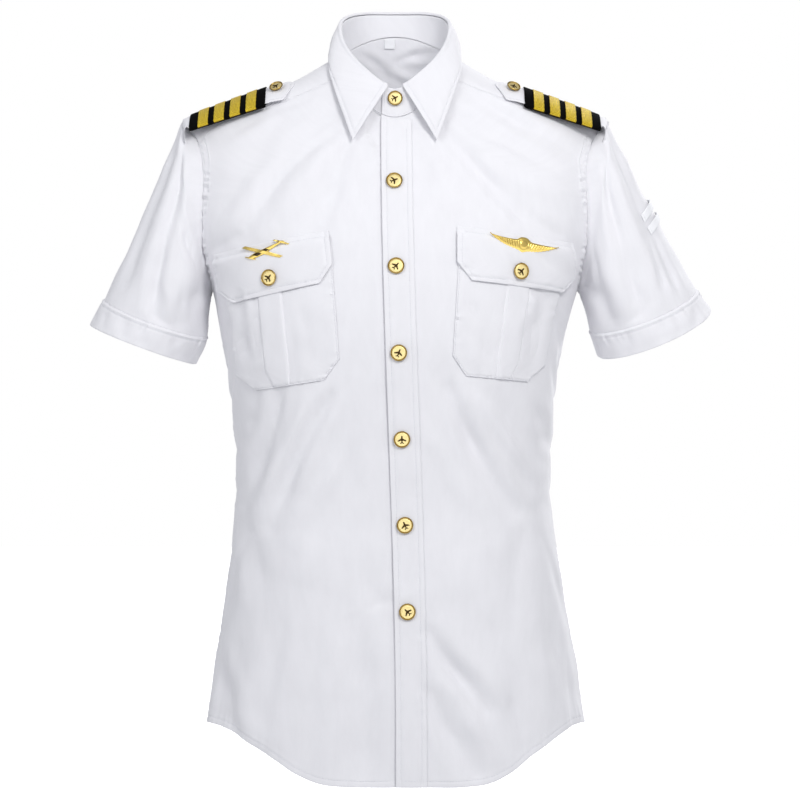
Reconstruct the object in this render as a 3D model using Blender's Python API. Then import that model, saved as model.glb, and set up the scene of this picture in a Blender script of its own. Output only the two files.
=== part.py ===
"""Short-sleeved pilot shirt in the hollow form that it has when worn, metres, +Z up, front towards -Y.

The origin lies midway between the two points where the shoulder seams meet the collar, where the
wearer's shoulders carry the shirt. +X is the wearer's left. Every cloth piece is a wall whose outer
points come from one body form, one sleeve form or one collar form.
"""

import bmesh
import bpy
import numpy as np

# Cloth and seams
WALL = 0.0011
GAP = 0.0003
LIFT, POCKET_LIFT, POCKET_BOW = 0.00045, 0.0008, 0.0010
LEVELS = 26

# Body form, a row per level: level, half width, middle, front depth, back depth, and the powers
# that square the section's width and depth (2 is an ellipse)
BODY = (
    (-0.720, 0.1940, 0.001, 0.121, 0.120, 2.4, 2.3),
    (-0.660, 0.1885, 0.001, 0.120, 0.118, 2.4, 2.3),
    (-0.610, 0.1815, 0.001, 0.118, 0.114, 2.4, 2.3),
    (-0.550, 0.1715, 0.000, 0.115, 0.107, 2.4, 2.3),
    (-0.490, 0.1630, -0.001, 0.112, 0.099, 2.4, 2.3),
    (-0.440, 0.1575, -0.002, 0.110, 0.093, 2.4, 2.3),
    (-0.400, 0.1570, -0.002, 0.112, 0.093, 2.4, 2.3),
    (-0.340, 0.1610, -0.002, 0.117, 0.099, 2.4, 2.3),
    (-0.290, 0.1680, -0.002, 0.121, 0.105, 2.4, 2.3),
    (-0.250, 0.1765, -0.001, 0.121, 0.109, 2.4, 2.3),
    (-0.228, 0.1815, 0.000, 0.119, 0.111, 2.4, 2.3),
    (-0.190, 0.1955, 0.000, 0.112, 0.111, 2.5, 2.3),
    (-0.150, 0.2045, 0.000, 0.100, 0.108, 2.6, 2.2),
    (-0.110, 0.2085, 0.000, 0.086, 0.102, 2.4, 2.1),
    (-0.080, 0.2095, 0.000, 0.074, 0.095, 2.0, 2.0),
    (-0.066, 0.2060, 0.000, 0.068, 0.091, 1.8, 2.0),
    (-0.058, 0.1960, 0.000, 0.065, 0.088, 1.8, 2.0),
    (-0.045, 0.1640, 0.000, 0.062, 0.082, 1.8, 2.0),
    (-0.030, 0.1260, 0.000, 0.059, 0.075, 1.8, 2.0),
    (-0.019, 0.0995, 0.000, 0.057, 0.070, 1.8, 2.0),
    (-0.010, 0.0830, 0.000, 0.056, 0.066, 1.85, 2.0),
    (-0.004, 0.0730, 0.000, 0.055, 0.063, 1.9, 2.0),
    (0.004, 0.0600, 0.000, 0.054, 0.059, 2.0, 2.0),
    (0.012, 0.0565, 0.000, 0.053, 0.056, 2.0, 2.0),
    (0.030, 0.0545, 0.000, 0.051, 0.051, 2.0, 2.0),
    (0.060, 0.0530, 0.000, 0.049, 0.045, 2.0, 2.0),
)

# Hem: share of the drop from the side point to the tail, against the angle from the centre. In front
# the tail leans a little to the wearer's left
HEM_SIDE, HEM_DROP = -0.660, 0.051
HEM_ANGLE = (0, 14, 21, 28, 36, 46, 59, 72, 90)
HEM_SHARE = (1, 1.0, 0.95, 0.79, 0.53, 0.265, 0.025, -0.06, 0)
HEM_LEAN = np.radians(3.2)

# Neck seam: levels at the front, shoulder and back, and half width
NECK_FRONT, NECK_SIDE, NECK_BACK, NECK_HALF = -0.061, 0.004, 0.030, 0.060
YOKE_AT_NECK = 56.25
BACK_YOKE = -0.080

# Armhole: an oval on the body form, cut into ARM_STEPS. The yoke takes YOKE_FRONT steps of it ahead
# of the shoulder and YOKE_REAR behind
ARM_MIDDLE, ARM_HALF, ARM_FRONT, ARM_REAR = -0.147, 0.081, 0.046, 0.054
ARM_STEPS, YOKE_FRONT, YOKE_REAR = 28, 3, 4

# Front edge: the placket's visible edge at the neck and the hem, its width, and the lap beneath it
PLACKET_TOP, PLACKET_FOOT, PLACKET_WIDE, LAP_WIDE = -0.0135, 0.0010, 0.0300, 0.0260
LAP_SINK, LAP_DROP, LAP_AT_NECK = WALL + GAP + 0.0008, 0.0015, 0.010

# Largest folds, a row each, millimetres in front view: from x, z, to x, z, width, height
FRONT_FOLDS = (
    (83, -71, 172, -125, 11, -3.0),
    (117, -134, 172, -163, 10, -2.5),
    (102, -110, 173, -146, 10, 2.0),
    (-92, -46, -172, -144, 14, -2.5),
    (-53, -95, -148, -158, 14, 1.5),
    (-53, -95, -72, -168, 12, -2.0),
    (-112, -333, -146, -426, 14, -3.0),
    (-73, -338, -102, -455, 16, 2.5),
    (102, -338, 131, -411, 12, -3.0),
    (44, -319, 97, -416, 14, -2.5),
    (73, -338, 122, -435, 12, 2.0),
    (-75, -470, -90, -520, 30, 3.0),
    (60, -480, 75, -530, 30, 3.0),
    (-150, -533, -165, -640, 12, -3.0),
    (34, -571, 88, -630, 10, -3.0),
    (39, -625, 78, -683, 10, -3.0),
    (63, -571, 102, -620, 12, 2.0),
    (151, -533, 172, -630, 10, -2.5),
    (-48, -557, -53, -630, 18, 2.0),
)
BACK_FOLDS = (
    (-60, -330, -85, -430, 14, -3.0),
    (62, -322, 84, -440, 14, -3.0),
    (-4, -350, 8, -470, 20, 2.5),
    (-100, -500, -125, -620, 14, -3.0),
    (104, -512, 130, -628, 14, -3.0),
    (-35, -490, -42, -640, 18, 2.0),
    (40, -520, 52, -655, 18, 2.0),
    (-158, -150, -78, -214, 14, -2.5),
    (158, -145, 84, -206, 14, -2.5),
)

# Sleeves, a row per ring: outer x, z, then underarm x, z, the depth, and how much lower the front
# of the ring hangs. Row 0 is the armhole. x is measured away from the middle
SLEEVE_RIGHT = (
    (0.2140, -0.059, 0.1838, -0.2350, 0.0500, 0.000),
    (0.2205, -0.082, 0.1850, -0.2420, 0.0540, 0.001),
    (0.2310, -0.108, 0.1860, -0.2490, 0.0575, 0.002),
    (0.2450, -0.138, 0.1868, -0.2550, 0.0600, 0.004),
    (0.2590, -0.171, 0.1870, -0.2610, 0.0615, 0.006),
    (0.2700, -0.196, 0.1870, -0.2660, 0.0605, 0.007),
    (0.2810, -0.218, 0.1870, -0.2700, 0.0590, 0.008),
    (0.2900, -0.237, 0.1872, -0.2740, 0.0575, 0.008),
)
SLEEVE_LEFT = (
    (0.2125, -0.057, 0.1850, -0.2340, 0.0500, 0.001),
    (0.2190, -0.076, 0.1870, -0.2400, 0.0540, 0.002),
    (0.2305, -0.098, 0.1890, -0.2460, 0.0575, 0.004),
    (0.2460, -0.129, 0.1905, -0.2510, 0.0600, 0.006),
    (0.2625, -0.160, 0.1920, -0.2560, 0.0610, 0.009),
    (0.2770, -0.187, 0.1930, -0.2600, 0.0605, 0.011),
    (0.2895, -0.209, 0.1940, -0.2640, 0.0590, 0.012),
    (0.3000, -0.228, 0.1950, -0.2685, 0.0575, 0.013),
)
SLEEVE_FORWARD = 0.006

# Sleeve folds, a row each: from angle, row, to angle, row, width in degrees, height in millimetres
SLEEVE_FOLDS = (
    (28, 1.5, 44, 7.5, 9, -2.6),
    (62, 2.0, 84, 7.5, 10, -3.2),
    (46, 1.0, 62, 6.0, 8, 1.8),
    (112, 2.5, 104, 7.0, 12, 2.2),
    (138, 1.5, 128, 6.5, 10, -2.0),
    (-34, 1.5, -52, 7.0, 10, -2.6),
    (-78, 2.0, -92, 7.5, 12, -2.8),
    (-120, 2.0, -112, 6.5, 12, 2.0),
)

# Turned-up cuffs: outer x, z, underarm x, z of the bottom edge, and the cuff's whole thickness
CUFF_FOOT = {-1: (0.3040, -0.2630, 0.1990, -0.3020), 1: (0.3145, -0.2485, 0.2025, -0.2932)}
CUFF_DIP, CUFF_DEEP, CUFF_THICK = {-1: 0.0035, 1: 0.0145}, 0.0585, 0.0022

# Collar stand's top edge: half width, half depth, middle, and its level against the turn from the front
STAND_HALF, STAND_DEEP, STAND_MIDDLE = 0.0545, 0.0575, -0.0045
STAND_TURN = (0, 10, 30, 63, 90, 111, 145, 180)
STAND_LEVEL = (-0.0330, -0.0300, -0.0160, 0.0105, 0.0330, 0.0432, 0.0515, 0.0530)
STAND_THICK = 0.0016

# Collar leaf: where the fold's two ends lie round the stand (degrees from the front), the fold's
# section as radial, height pairs outside and inside, and the outer edge from point to point
LEAF_ENDS = (-7.0, 8.0)
LEAF_STEPS, LEAF_ROWS, LEAF_BELLY, LEAF_THICK = 32, 3, 0.0022, 0.0013
CREST_OUTSIDE = (
    (-0.0015, 0.0008),
    (-0.0012, 0.0024),
    (0.0001, 0.0034),
    (0.0019, 0.0028),
    (0.0031, 0.0004),
)
CREST_INSIDE = (
    (-0.0004, 0.0008),
    (-0.0002, 0.0014),
    (0.0003, 0.0018),
    (0.0011, 0.0014),
    (0.0018, -0.0002),
)
# share of the way round to the back, x, y, z
LEAF_EDGE = (
    (0.00, 0.0413, -0.0815, -0.0848),
    (0.13, 0.0527, -0.0680, -0.0525),
    (0.26, 0.0608, -0.0560, -0.0290),
    (0.38, 0.0655, -0.0415, -0.0130),
    (0.50, 0.0660, -0.0200, -0.0005),
    (0.61, 0.0655, 0.0080, 0.0040),
    (0.73, 0.0610, 0.0340, 0.0050),
    (0.86, 0.0380, 0.0560, 0.0080),
    (1.00, 0.0000, 0.0650, 0.0095),
)

# Pockets and flaps in front view, corners as x, z: outer top, inner top, inner foot, outer foot
POCKET = {
    -1: ((-0.1685, -0.206), (-0.0620, -0.185), (-0.0520, -0.3165), (-0.1530, -0.3315)),
    1: ((0.1680, -0.196), (0.0630, -0.182), (0.0545, -0.3135), (0.1430, -0.3215)),
}
FLAP = {
    -1: ((-0.1770, -0.1955), (-0.0640, -0.1740), (-0.0580, -0.2230), (-0.1690, -0.2460)),
    1: ((0.1750, -0.1845), (0.0600, -0.1700), (0.0595, -0.2215), (0.1740, -0.2335)),
}
POCKET_CORNER, FLAP_CORNER = (0.86, 0.16), (0.68, 0.125)
PLEAT, PLEAT_PROUD = (0.305, 0.520), 0.0008
FLAP_STEP = WALL + PLEAT_PROUD + 0.0006

# Shoulder strap and slip-on board, along x from the neck end, across as half widths. They lie on an
# arch over the shoulder's crest: x, middle y and crest level at the arch's two ends, and its radius
STRAP_ARCH_ENDS, STRAP_ARCH = ((0.0995, -0.0270, -0.0185), (0.2040, -0.0170, -0.0570)), 0.052
STRAP_ENDS, STRAP_HALF, STRAP_POINT = (0.0995, 0.2040), 0.0200, 0.010
BOARD_ENDS, BOARD_HALF, BOARD_WALL = (0.1270, 0.2025), (0.0230, 0.0255), 0.0010
STRAP_OUTSIDE = LIFT + BOARD_WALL + GAP + WALL
BAR_FIRST, BAR_PITCH, BAR_WIDE, BAR_PROUD, BARS = 0.1420, 0.0157, 0.0115, 0.0007, 4

# Buttons: centres, and a profile of radius share, height
BUTTON_RADIUS, STRAP_BUTTON_RADIUS, COLLAR_BUTTON_RADIUS = 0.0081, 0.0070, 0.0074
BUTTON_PROFILE = (
    (0.0, 0.0019),
    (0.78, 0.0021),
    (0.90, 0.0027),
    (1.0, 0.0019),
    (0.85, 0.0006),
    (0.45, 0.0),
)
BUTTON_SIDES = 12
COLLAR_BUTTON = (0.0002, -0.0425)
FRONT_BUTTONS, FIRST_BUTTON, LAST_BUTTON = 6, -0.1258, -0.5423
POCKET_BUTTON = {-1: (-0.1195, -0.2195), 1: (0.1200, -0.2132)}
# Strap button: x, how far ahead of the strap's middle, forward lean, height of its back, shank
STRAP_BUTTON_X, STRAP_BUTTON_AHEAD, STRAP_BUTTON_LEAN = 0.1160, 0.002, 14
STRAP_BUTTON_RISE, STRAP_SHANK = 0.0021, 0.0014

# Pins and tapes
WINGS_CENTRE, WINGS_HALF, WINGS_TILT = (0.1232, -0.1839), 0.0330, -0.182
PLANE_CENTRE, PLANE_TILT, PLANE_LEAN = (-0.1261, -0.1948), 3.605, -1.10
PIN_THICK = 0.0012
LOOPS = {"pen_loop_upper": (18, 4.42), "pen_loop_lower": (18, 4.83)}
LOOP_ARC, LOOP_ROWS, LOOP_RISE = 20, 0.12, 0.0020
LABEL_CENTRE, LABEL_HALF, LABEL_TALL = (-0.0058, 0.0300), 0.0056, 0.0098

COLOURS = {
    "cotton": ((0.86, 0.87, 0.91), 0.85, 0.0),
    "board": ((0.012, 0.012, 0.014), 0.9, 0.0),
    "gold": ((0.83, 0.62, 0.24), 0.32, 1.0),
}


def clear_scene():
    for item in list(bpy.data.objects):
        bpy.data.objects.remove(item, do_unlink=True)


def material(name):
    """The named Principled material, made once."""
    found = bpy.data.materials.get(name)
    if found:
        return found
    colour, roughness, metallic = COLOURS[name]
    made = bpy.data.materials.new(name)
    made.use_nodes = True
    shader = made.node_tree.nodes["Principled BSDF"]
    shader.inputs["Base Color"].default_value = (*colour, 1)
    shader.inputs["Roughness"].default_value = roughness
    shader.inputs["Metallic"].default_value = metallic
    return made


def add_object(name, points, faces, finish, crease=35):
    """A closed mesh object, its faces turned outwards and shaded smooth except past the crease angle."""
    mesh = bpy.data.meshes.new(name)
    mesh.from_pydata(np.asarray(points).reshape(-1, 3).tolist(), [], [list(map(int, f)) for f in faces])
    shape = bmesh.new()
    shape.from_mesh(mesh)
    bmesh.ops.recalc_face_normals(shape, faces=shape.faces)
    if shape.calc_volume(signed=True) < 0:
        bmesh.ops.reverse_faces(shape, faces=shape.faces)
    shape.to_mesh(mesh)
    shape.free()
    mesh.shade_smooth()
    mesh.set_sharp_from_angle(angle=np.radians(crease))
    mesh.materials.append(material(finish))
    made = bpy.data.objects.new(name, mesh)
    bpy.context.scene.collection.objects.link(made)
    return made


def unit(vectors):
    return vectors / np.maximum(np.linalg.norm(vectors, axis=-1, keepdims=True), 1e-12)


def smooth(x, xs, ys):
    """Cubic curve through a table: each row's slope is the one between its two neighbours."""
    xs, ys = np.asarray(xs, float), np.asarray(ys, float)
    slopes = np.gradient(ys, xs)
    i = np.clip(np.searchsorted(xs, x) - 1, 0, len(xs) - 2)
    h = xs[i + 1] - xs[i]
    t = np.clip((x - xs[i]) / h, 0, 1)
    rise = (1 + 2 * t) * (1 - t) ** 2 * ys[i] + t * t * (3 - 2 * t) * ys[i + 1]
    return rise + h * t * (1 - t) * ((1 - t) * slopes[i] - t * slopes[i + 1])


def ramp(x):
    """0 below 0, 1 above 1, and a soft S between."""
    t = np.clip(x, 0, 1)
    return t * t * (3 - 2 * t)


def section(z):
    """The body form's row at a level: half width, middle, front depth, back depth and two powers."""
    table = np.array(BODY)
    return [smooth(z, table[:, 0], table[:, k]) for k in range(1, 7)]


def fold_height(u, v, folds, scale=0.001):
    """Sum of soft folds: each is highest along its line, falls off as a bell and tapers to its ends."""
    total = np.zeros(np.broadcast(u, v).shape)
    for u1, v1, u2, v2, width, height in folds:
        along = np.hypot(u2 - u1, v2 - v1)
        share = ((u - u1) * (u2 - u1) + (v - v1) * (v2 - v1)) / along**2
        near = np.clip(share, 0, 1)
        off = np.hypot(u - u1 - near * (u2 - u1), v - v1 - near * (v2 - v1))
        taper = 0.35 + 0.65 * np.sin(np.pi * np.clip(near, 0, 1))
        total += height * scale * taper * np.exp(-((off / width) ** 2))
    return total


def plain_body(angle, z):
    """The body form without folds. The angle runs from the centre front, positive to +X."""
    half, middle, front, back, wide, deep = section(z)
    s, c = np.sin(angle), np.cos(angle)
    x = middle + half * np.sign(s) * np.abs(s) ** (2 / wide)
    y = -np.where(c > 0, front, back) * np.sign(c) * np.abs(c) ** (2 / deep)
    return np.stack(np.broadcast_arrays(x, y, z), axis=-1)


def body_normal(angle, z, step=0.004):
    round_it = plain_body(angle + step, z) - plain_body(angle - step, z)
    up_it = plain_body(angle, z + step) - plain_body(angle, z - step)
    return unit(np.cross(round_it, up_it))


def body(angle, z, lift=0.0):
    """A point of the body form, moved out by its folds and by lift."""
    angle, z = np.broadcast_arrays(np.asarray(angle, float), np.asarray(z, float))
    point, normal = plain_body(angle, z), body_normal(angle, z)
    c = np.cos(angle)
    x_mm, z_mm = point[..., 0] * 1000, z * 1000
    folds = np.where(c > 0, fold_height(x_mm, z_mm, FRONT_FOLDS), fold_height(x_mm, z_mm, BACK_FOLDS))
    return point + normal * (folds * ramp(np.abs(c) / 0.3) + lift)[..., None]


def angle_at(x, z):
    """The angle of the front point that has this x."""
    half, middle, _, _, wide, _ = section(z)
    share = np.clip(np.abs(x - middle) / half, 0, 1)
    return np.sign(x - middle) * np.arcsin(share ** (wide / 2))


def on_front(x, z, lift=0.0):
    return body(angle_at(x, z), z, lift)


def neck(degrees):
    """Angle and level on the body form of the neck seam, at degrees round from the front."""
    turn = np.radians(degrees)
    c = np.cos(turn)
    z = NECK_SIDE + np.where(c > 0, NECK_FRONT - NECK_SIDE, NECK_BACK - NECK_SIDE) * c**2
    half, _, _, _, wide, _ = section(z)
    s = np.clip(NECK_HALF * np.abs(np.sin(turn)) / half, 0, 1) ** (wide / 2)
    angle = np.arctan2(s, np.sign(c) * np.sqrt(1 - s**2))
    return np.sign(np.sin(turn) + 1e-9) * angle, z


def armhole(step, side):
    """Angle and level on the body form of the armhole, step by step from the shoulder towards the front."""
    turn = 2 * np.pi * np.asarray(step) / ARM_STEPS
    z = ARM_MIDDLE + ARM_HALF * np.cos(turn)
    y = -np.where(np.sin(turn) > 0, ARM_FRONT, ARM_REAR) * np.sin(turn)
    _, _, front, back, _, deep = section(z)
    c = -np.sign(y) * (np.abs(y) / np.where(y < 0, front, back)) ** (deep / 2)
    return side * np.arctan2(np.sqrt(1 - c**2), c), z


def placket_edge(z):
    """x of the placket's visible edge at a level."""
    return PLACKET_TOP + (PLACKET_FOOT - PLACKET_TOP) * ramp((z - NECK_FRONT) / (HEM_SIDE - NECK_FRONT))


def hem_level(angle):
    """Level of the hem round the body, longest at the centre front and centre back."""
    turned = angle - HEM_LEAN * np.maximum(np.cos(angle), 0) ** 2
    from_centre = np.degrees(np.arccos(np.abs(np.cos(turned))))
    return HEM_SIDE - HEM_DROP * smooth(from_centre, HEM_ANGLE, HEM_SHARE)


def pulled(points, first_row=0, last_row=0, first_column=0, last_column=0):
    """The grid with its edges drawn back, each by the number of half seam gaps that is asked for."""
    out = points.copy()
    for count, edge, inner in ((first_row, 0, 1), (last_row, -1, -2)):
        out[edge] += unit(points[inner] - points[edge]) * count * GAP / 2
    for count, edge, inner in ((first_column, 0, 1), (last_column, -1, -2)):
        out[:, edge] += unit(points[:, inner] - points[:, edge]) * count * GAP / 2
    return out


def grid_normals(points, closed=False):
    """Outward normals of a grid whose rows run round the piece and whose columns run along it."""
    if closed:
        across = np.roll(points, -1, 1) - np.roll(points, 1, 1)
    else:
        across = np.gradient(points, axis=1)
    return unit(np.cross(across, np.gradient(points, axis=0)))


def grid_faces(rows, columns, closed, start=0):
    r, c = np.meshgrid(np.arange(rows - 1), np.arange(columns if closed else columns - 1), indexing="ij")
    n = (c + 1) % columns
    quads = np.stack([r * columns + c, r * columns + n, (r + 1) * columns + n, (r + 1) * columns + c], axis=-1)
    return quads.reshape(-1, 4) + start


def rim_faces(loop, shift):
    """Quads between a closed loop of point numbers on the outside and the same loop on the inside."""
    return [[a, b, b + shift, a + shift] for a, b in zip(loop, np.roll(loop, -1))]


def add_wall(name, outer, inner, finish, closed=False):
    """A wall between two grids of the same shape, its edges closed. Closed grids are tubes."""
    rows, columns = outer.shape[:2]
    count = rows * columns
    faces = grid_faces(rows, columns, closed).tolist()
    faces += grid_faces(rows, columns, closed, count)[:, ::-1].tolist()
    number = np.arange(count).reshape(rows, columns)
    if closed:
        faces += rim_faces(number[0], count) + rim_faces(number[-1], count)
    else:
        loop = np.concatenate([number[0], number[1:, -1], number[-1, -2::-1], number[-2:0:-1, 0]])
        faces += rim_faces(loop, count)
    return add_object(name, np.concatenate([outer.reshape(-1, 3), inner.reshape(-1, 3)]), faces, finish)


def body_wall(name, angle, z, lift=0.0, **edges):
    """A cloth wall of the body form over a grid of angles and levels."""
    outer = pulled(body(angle, z, lift), **edges)
    return add_wall(name, outer, outer - body_normal(angle, z) * WALL, "cotton")


def front_rows(side, neck_from):
    """For each row of a front, from hem to yoke: the inner end's angle and level, and the outer end's."""
    arm_rows = ARM_STEPS // 2 - YOKE_FRONT
    side_rows = LEVELS - arm_rows
    neck_rows = 5
    angle_top, z_top = neck(neck_from)
    z_hem = HEM_SIDE - HEM_DROP
    z_in = np.linspace(z_hem, z_top, LEVELS + 1 - neck_rows)
    x_in = placket_edge(z_in) + (LAP_WIDE if side < 0 else 0)
    angle_in = np.append(angle_at(x_in, z_in)[:-1], angle_top)
    ring = np.linspace(neck_from, side * YOKE_AT_NECK, neck_rows + 1)[1:]
    angle_ring, z_ring = neck(ring)
    if side < 0:
        z_in = z_in - LAP_DROP * ramp(np.arange(len(z_in)) / len(z_in))
        z_ring = z_ring - LAP_DROP * ramp((ring + 40) / 25)
    angle_arm, z_arm = armhole(np.arange(ARM_STEPS // 2, YOKE_FRONT - 1, -1), side)
    z_side = np.linspace(HEM_SIDE, z_arm[0], side_rows + 1)[:-1]
    inner = np.append(angle_in, angle_ring), np.append(z_in, z_ring)
    outer = np.append(np.full(side_rows, side * np.pi / 2), angle_arm), np.append(z_side, z_arm)
    return inner, outer


def fill_rows(inner, outer, angle, hem_fade):
    """Levels over a grid of angles: straight between each row's ends, and following the hem at the foot."""
    share = (angle - inner[0][:, None]) / (outer[0] - inner[0])[:, None]
    straight = inner[1][:, None] + share * (outer[1] - inner[1])[:, None]
    at_hem = hem_level(angle) - (inner[1][0] + share * (outer[1][0] - inner[1][0]))
    return straight + at_hem * hem_fade[:, None]


def fade_from_hem():
    return np.clip(1 - np.arange(LEVELS + 1) / (LEVELS - 11), 0, 1) ** 1.5


def make_fronts():
    """Left front, whose edge carries the placket, and right front, which laps beneath it."""
    columns = 11
    start = {1: NECK_ENDS[0], -1: NECK_ENDS[1]}
    inner, outer = front_rows(1, start[1])
    share = np.linspace(0, 1, columns + 1)
    angle = inner[0][:, None] + (outer[0] - inner[0])[:, None] * share
    z = fill_rows(inner, outer, angle, fade_from_hem())
    body_wall("front_left", angle, z, last_row=1, last_column=1)

    inner, outer = front_rows(-1, start[-1])
    edge = placket_edge(inner[1])
    x_in = plain_body(*inner)[:, 0]
    sunk = np.minimum(edge - 0.0008, x_in - 0.003)
    level = np.minimum(edge - 0.0050, sunk - 0.004)
    near = np.stack([inner[0], angle_at(sunk, inner[1]), angle_at(level, inner[1])], axis=1)
    share = np.linspace(0, 1, columns)[1:]
    rest = near[:, 2:] + (outer[0][:, None] - near[:, 2:]) * share
    angle = np.concatenate([near, rest], axis=1)
    z = fill_rows(inner, outer, angle, fade_from_hem())
    angle[:, 1], angle[:, 2] = angle_at(sunk, z[:, 1]), angle_at(level, z[:, 2])
    x = plain_body(angle, z)[..., 0]
    start = 0.0048 + LAP_AT_NECK * ramp((z - NECK_FRONT) / 0.020 + 1.8)
    sink = -LAP_SINK * ramp((x - placket_edge(z) + start) / 0.0034) * (z < NECK_FRONT + 0.03)
    body_wall("front_right", angle, z, sink, last_row=1, last_column=1)


def back_seam(share):
    """Angle and level along the back yoke seam, from the left armhole over the back to the right one."""
    angle_end, z_end = armhole(-YOKE_REAR, 1)
    angle = angle_end + (2 * np.pi - 2 * angle_end) * share
    return angle, z_end + (BACK_YOKE - z_end) * (1 - (2 * share - 1) ** 2)


def make_back():
    """One panel from side seam to side seam, up to the yoke."""
    steps = np.arange(-ARM_STEPS // 2, -YOKE_REAR + 1)
    angle_arm, z_arm = armhole(steps, 1)
    side_rows = LEVELS - (len(steps) - 1)
    edge = np.append(np.full(side_rows, np.pi / 2), angle_arm)
    z_edge = np.append(np.linspace(HEM_SIDE, z_arm[0], side_rows + 1)[:-1], z_arm)
    z_mid = np.linspace(HEM_SIDE - HEM_DROP, BACK_YOKE, LEVELS + 1)
    share = np.linspace(0, 1, BACK_COLUMNS + 1)
    angle = edge[:, None] + (2 * np.pi - 2 * edge)[:, None] * share
    arch = 1 - (2 * share - 1) ** 2
    z = z_edge[:, None] + (z_mid - z_edge)[:, None] * arch
    at_hem = hem_level(angle[0]) - z[0]
    z = z + at_hem * fade_from_hem()[:, None]
    body_wall("back", angle, z, last_row=1, first_column=1, last_column=1)


def make_yoke():
    """One piece over both shoulders: lines run out from the neck seam to the front seams, armholes and back seam."""
    over = np.arange(YOKE_FRONT, -YOKE_REAR - 1, -1)
    angle_left, z_left = armhole(over, 1)
    angle_back, z_back = back_seam(np.linspace(0, 1, BACK_COLUMNS + 1)[1:-1])
    angle_out = np.concatenate([angle_left, angle_back, 2 * np.pi - angle_left[::-1]])
    z_out = np.concatenate([z_left, z_back, z_left[::-1]])
    ring = np.linspace(YOKE_AT_NECK, 360 - YOKE_AT_NECK, len(angle_out))
    angle_in, z_in = neck(ring)
    angle_in = np.where(angle_in < 0, angle_in + 2 * np.pi, angle_in)
    share = np.linspace(0, 1, 7)[:, None]
    angle = angle_in + (angle_out - angle_in) * share
    z = z_in + (z_out - z_in) * share
    body_wall("yoke", angle[::-1], z[::-1], first_row=1, first_column=4, last_column=4)


def sleeve_rings(side):
    """The sleeve's rings from the armhole to the cuff seam, each starting at the shoulder and turning to the front."""
    turn = 2 * np.pi * np.arange(ARM_STEPS) / ARM_STEPS
    rings = [body(*armhole(np.arange(ARM_STEPS), side))]
    table = SLEEVE_RIGHT if side < 0 else SLEEVE_LEFT
    for number, (outer_x, outer_z, under_x, under_z, depth, dip) in enumerate(table, 1):
        rings.append(sleeve_ring(side, (outer_x, outer_z, under_x, under_z), depth, dip, number / len(table)))
    rings = np.array(rings)
    rows = np.arange(len(rings))[:, None]
    degrees = (np.degrees(turn) + 180) % 360 - 180
    folds = fold_height(degrees / 20, rows, [(a / 20, r, b / 20, s, w / 20, h) for a, r, b, s, w, h in SLEEVE_FOLDS])
    return rings + grid_outward(rings) * (folds * ramp(rows / 1.5) * ramp((8 - rows) / 1.5))[..., None]


def sleeve_ring(side, ends, depth, dip, share):
    turn = 2 * np.pi * np.arange(ARM_STEPS) / ARM_STEPS
    outer_x, outer_z, under_x, under_z = ends
    x = (outer_x + under_x) / 2 + (outer_x - under_x) / 2 * np.cos(turn)
    z = (outer_z + under_z) / 2 + (outer_z - under_z) / 2 * np.cos(turn) - dip * np.sin(turn)
    y = -depth * np.sin(turn) - SLEEVE_FORWARD * share
    return np.stack([side * x, y, z], axis=-1)


def grid_outward(rings):
    """Normals of a tube of rings, turned away from its own middle."""
    normals = grid_normals(rings, closed=True)
    away = np.sum(normals * (rings - rings.mean(axis=1, keepdims=True)), axis=-1)
    return normals * np.where(np.median(away) < 0, -1, 1)


def make_sleeve(side):
    """The sleeve's tube and the turned-up cuff that stands proud of it."""
    hand = "right" if side < 0 else "left"
    rings = sleeve_rings(side)
    normals = grid_outward(rings)
    angle, z = armhole(np.arange(ARM_STEPS), side)
    shared = normals[0] + body_normal(angle, z)
    agree = np.sum(normals[0] * body_normal(angle, z), axis=-1, keepdims=True)
    inward = normals.copy()
    inward[0] = np.where(agree > 0.4, shared / (1 + agree), normals[0])
    outer = pulled(rings, first_row=1, last_row=1)
    add_wall("sleeve_" + hand, outer, outer - inward * WALL, "cotton", closed=True)

    foot = sleeve_ring(side, CUFF_FOOT[side], CUFF_DEEP, CUFF_DIP[side], 1.0)
    top = rings[-1] + (foot - rings[-1]) * 0.012
    cuff = np.stack([top, (top + foot) / 2, foot])
    out = grid_outward(cuff)
    proud = (CUFF_THICK - WALL) * out
    cuff = pulled(cuff, first_row=1)
    add_wall("cuff_" + hand, cuff + proud, cuff + proud - out * CUFF_THICK, "cotton", closed=True)


def stand_top(degrees):
    """The top edge of the collar stand, at degrees round from the front."""
    turn = np.radians(degrees)
    x = STAND_HALF * np.sin(turn)
    y = STAND_MIDDLE - STAND_DEEP * np.cos(turn)
    from_front = np.degrees(np.arccos(np.cos(turn)))
    return np.stack([x, y, smooth(from_front, STAND_TURN, STAND_LEVEL)], axis=-1)


def stand_turns():
    """Degrees along the stand, from its outer end round the wearer's left and the back to its inner end."""
    front = np.linspace(NECK_ENDS[0], YOKE_AT_NECK, 6)[:-1]
    ring = np.linspace(YOKE_AT_NECK, 360 - YOKE_AT_NECK, YOKE_COLUMNS + 1)
    far = 360 + np.linspace(-YOKE_AT_NECK, NECK_ENDS[1], 6)[1:]
    return np.concatenate([front, ring, far])


def make_stand():
    """The collar stand: a band whose outer end laps over its inner end at the front."""
    turns = stand_turns()
    angle, z = neck(turns)
    foot = body(angle, z)
    top = stand_top(turns)
    lean = unit(top - foot)
    round_it = unit(np.gradient(top, axis=0))
    out = unit(np.cross(round_it, lean))
    tucked = ramp((turns - 332) / 12)[:, None] * (STAND_THICK + GAP + 0.0002)
    foot, top = foot - out * tucked, top - out * tucked
    foot = foot + lean * GAP
    rows = np.array([foot, (foot + top) / 2, top])
    add_wall("collar_stand", rows, rows - out * STAND_THICK, "cotton")


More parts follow.
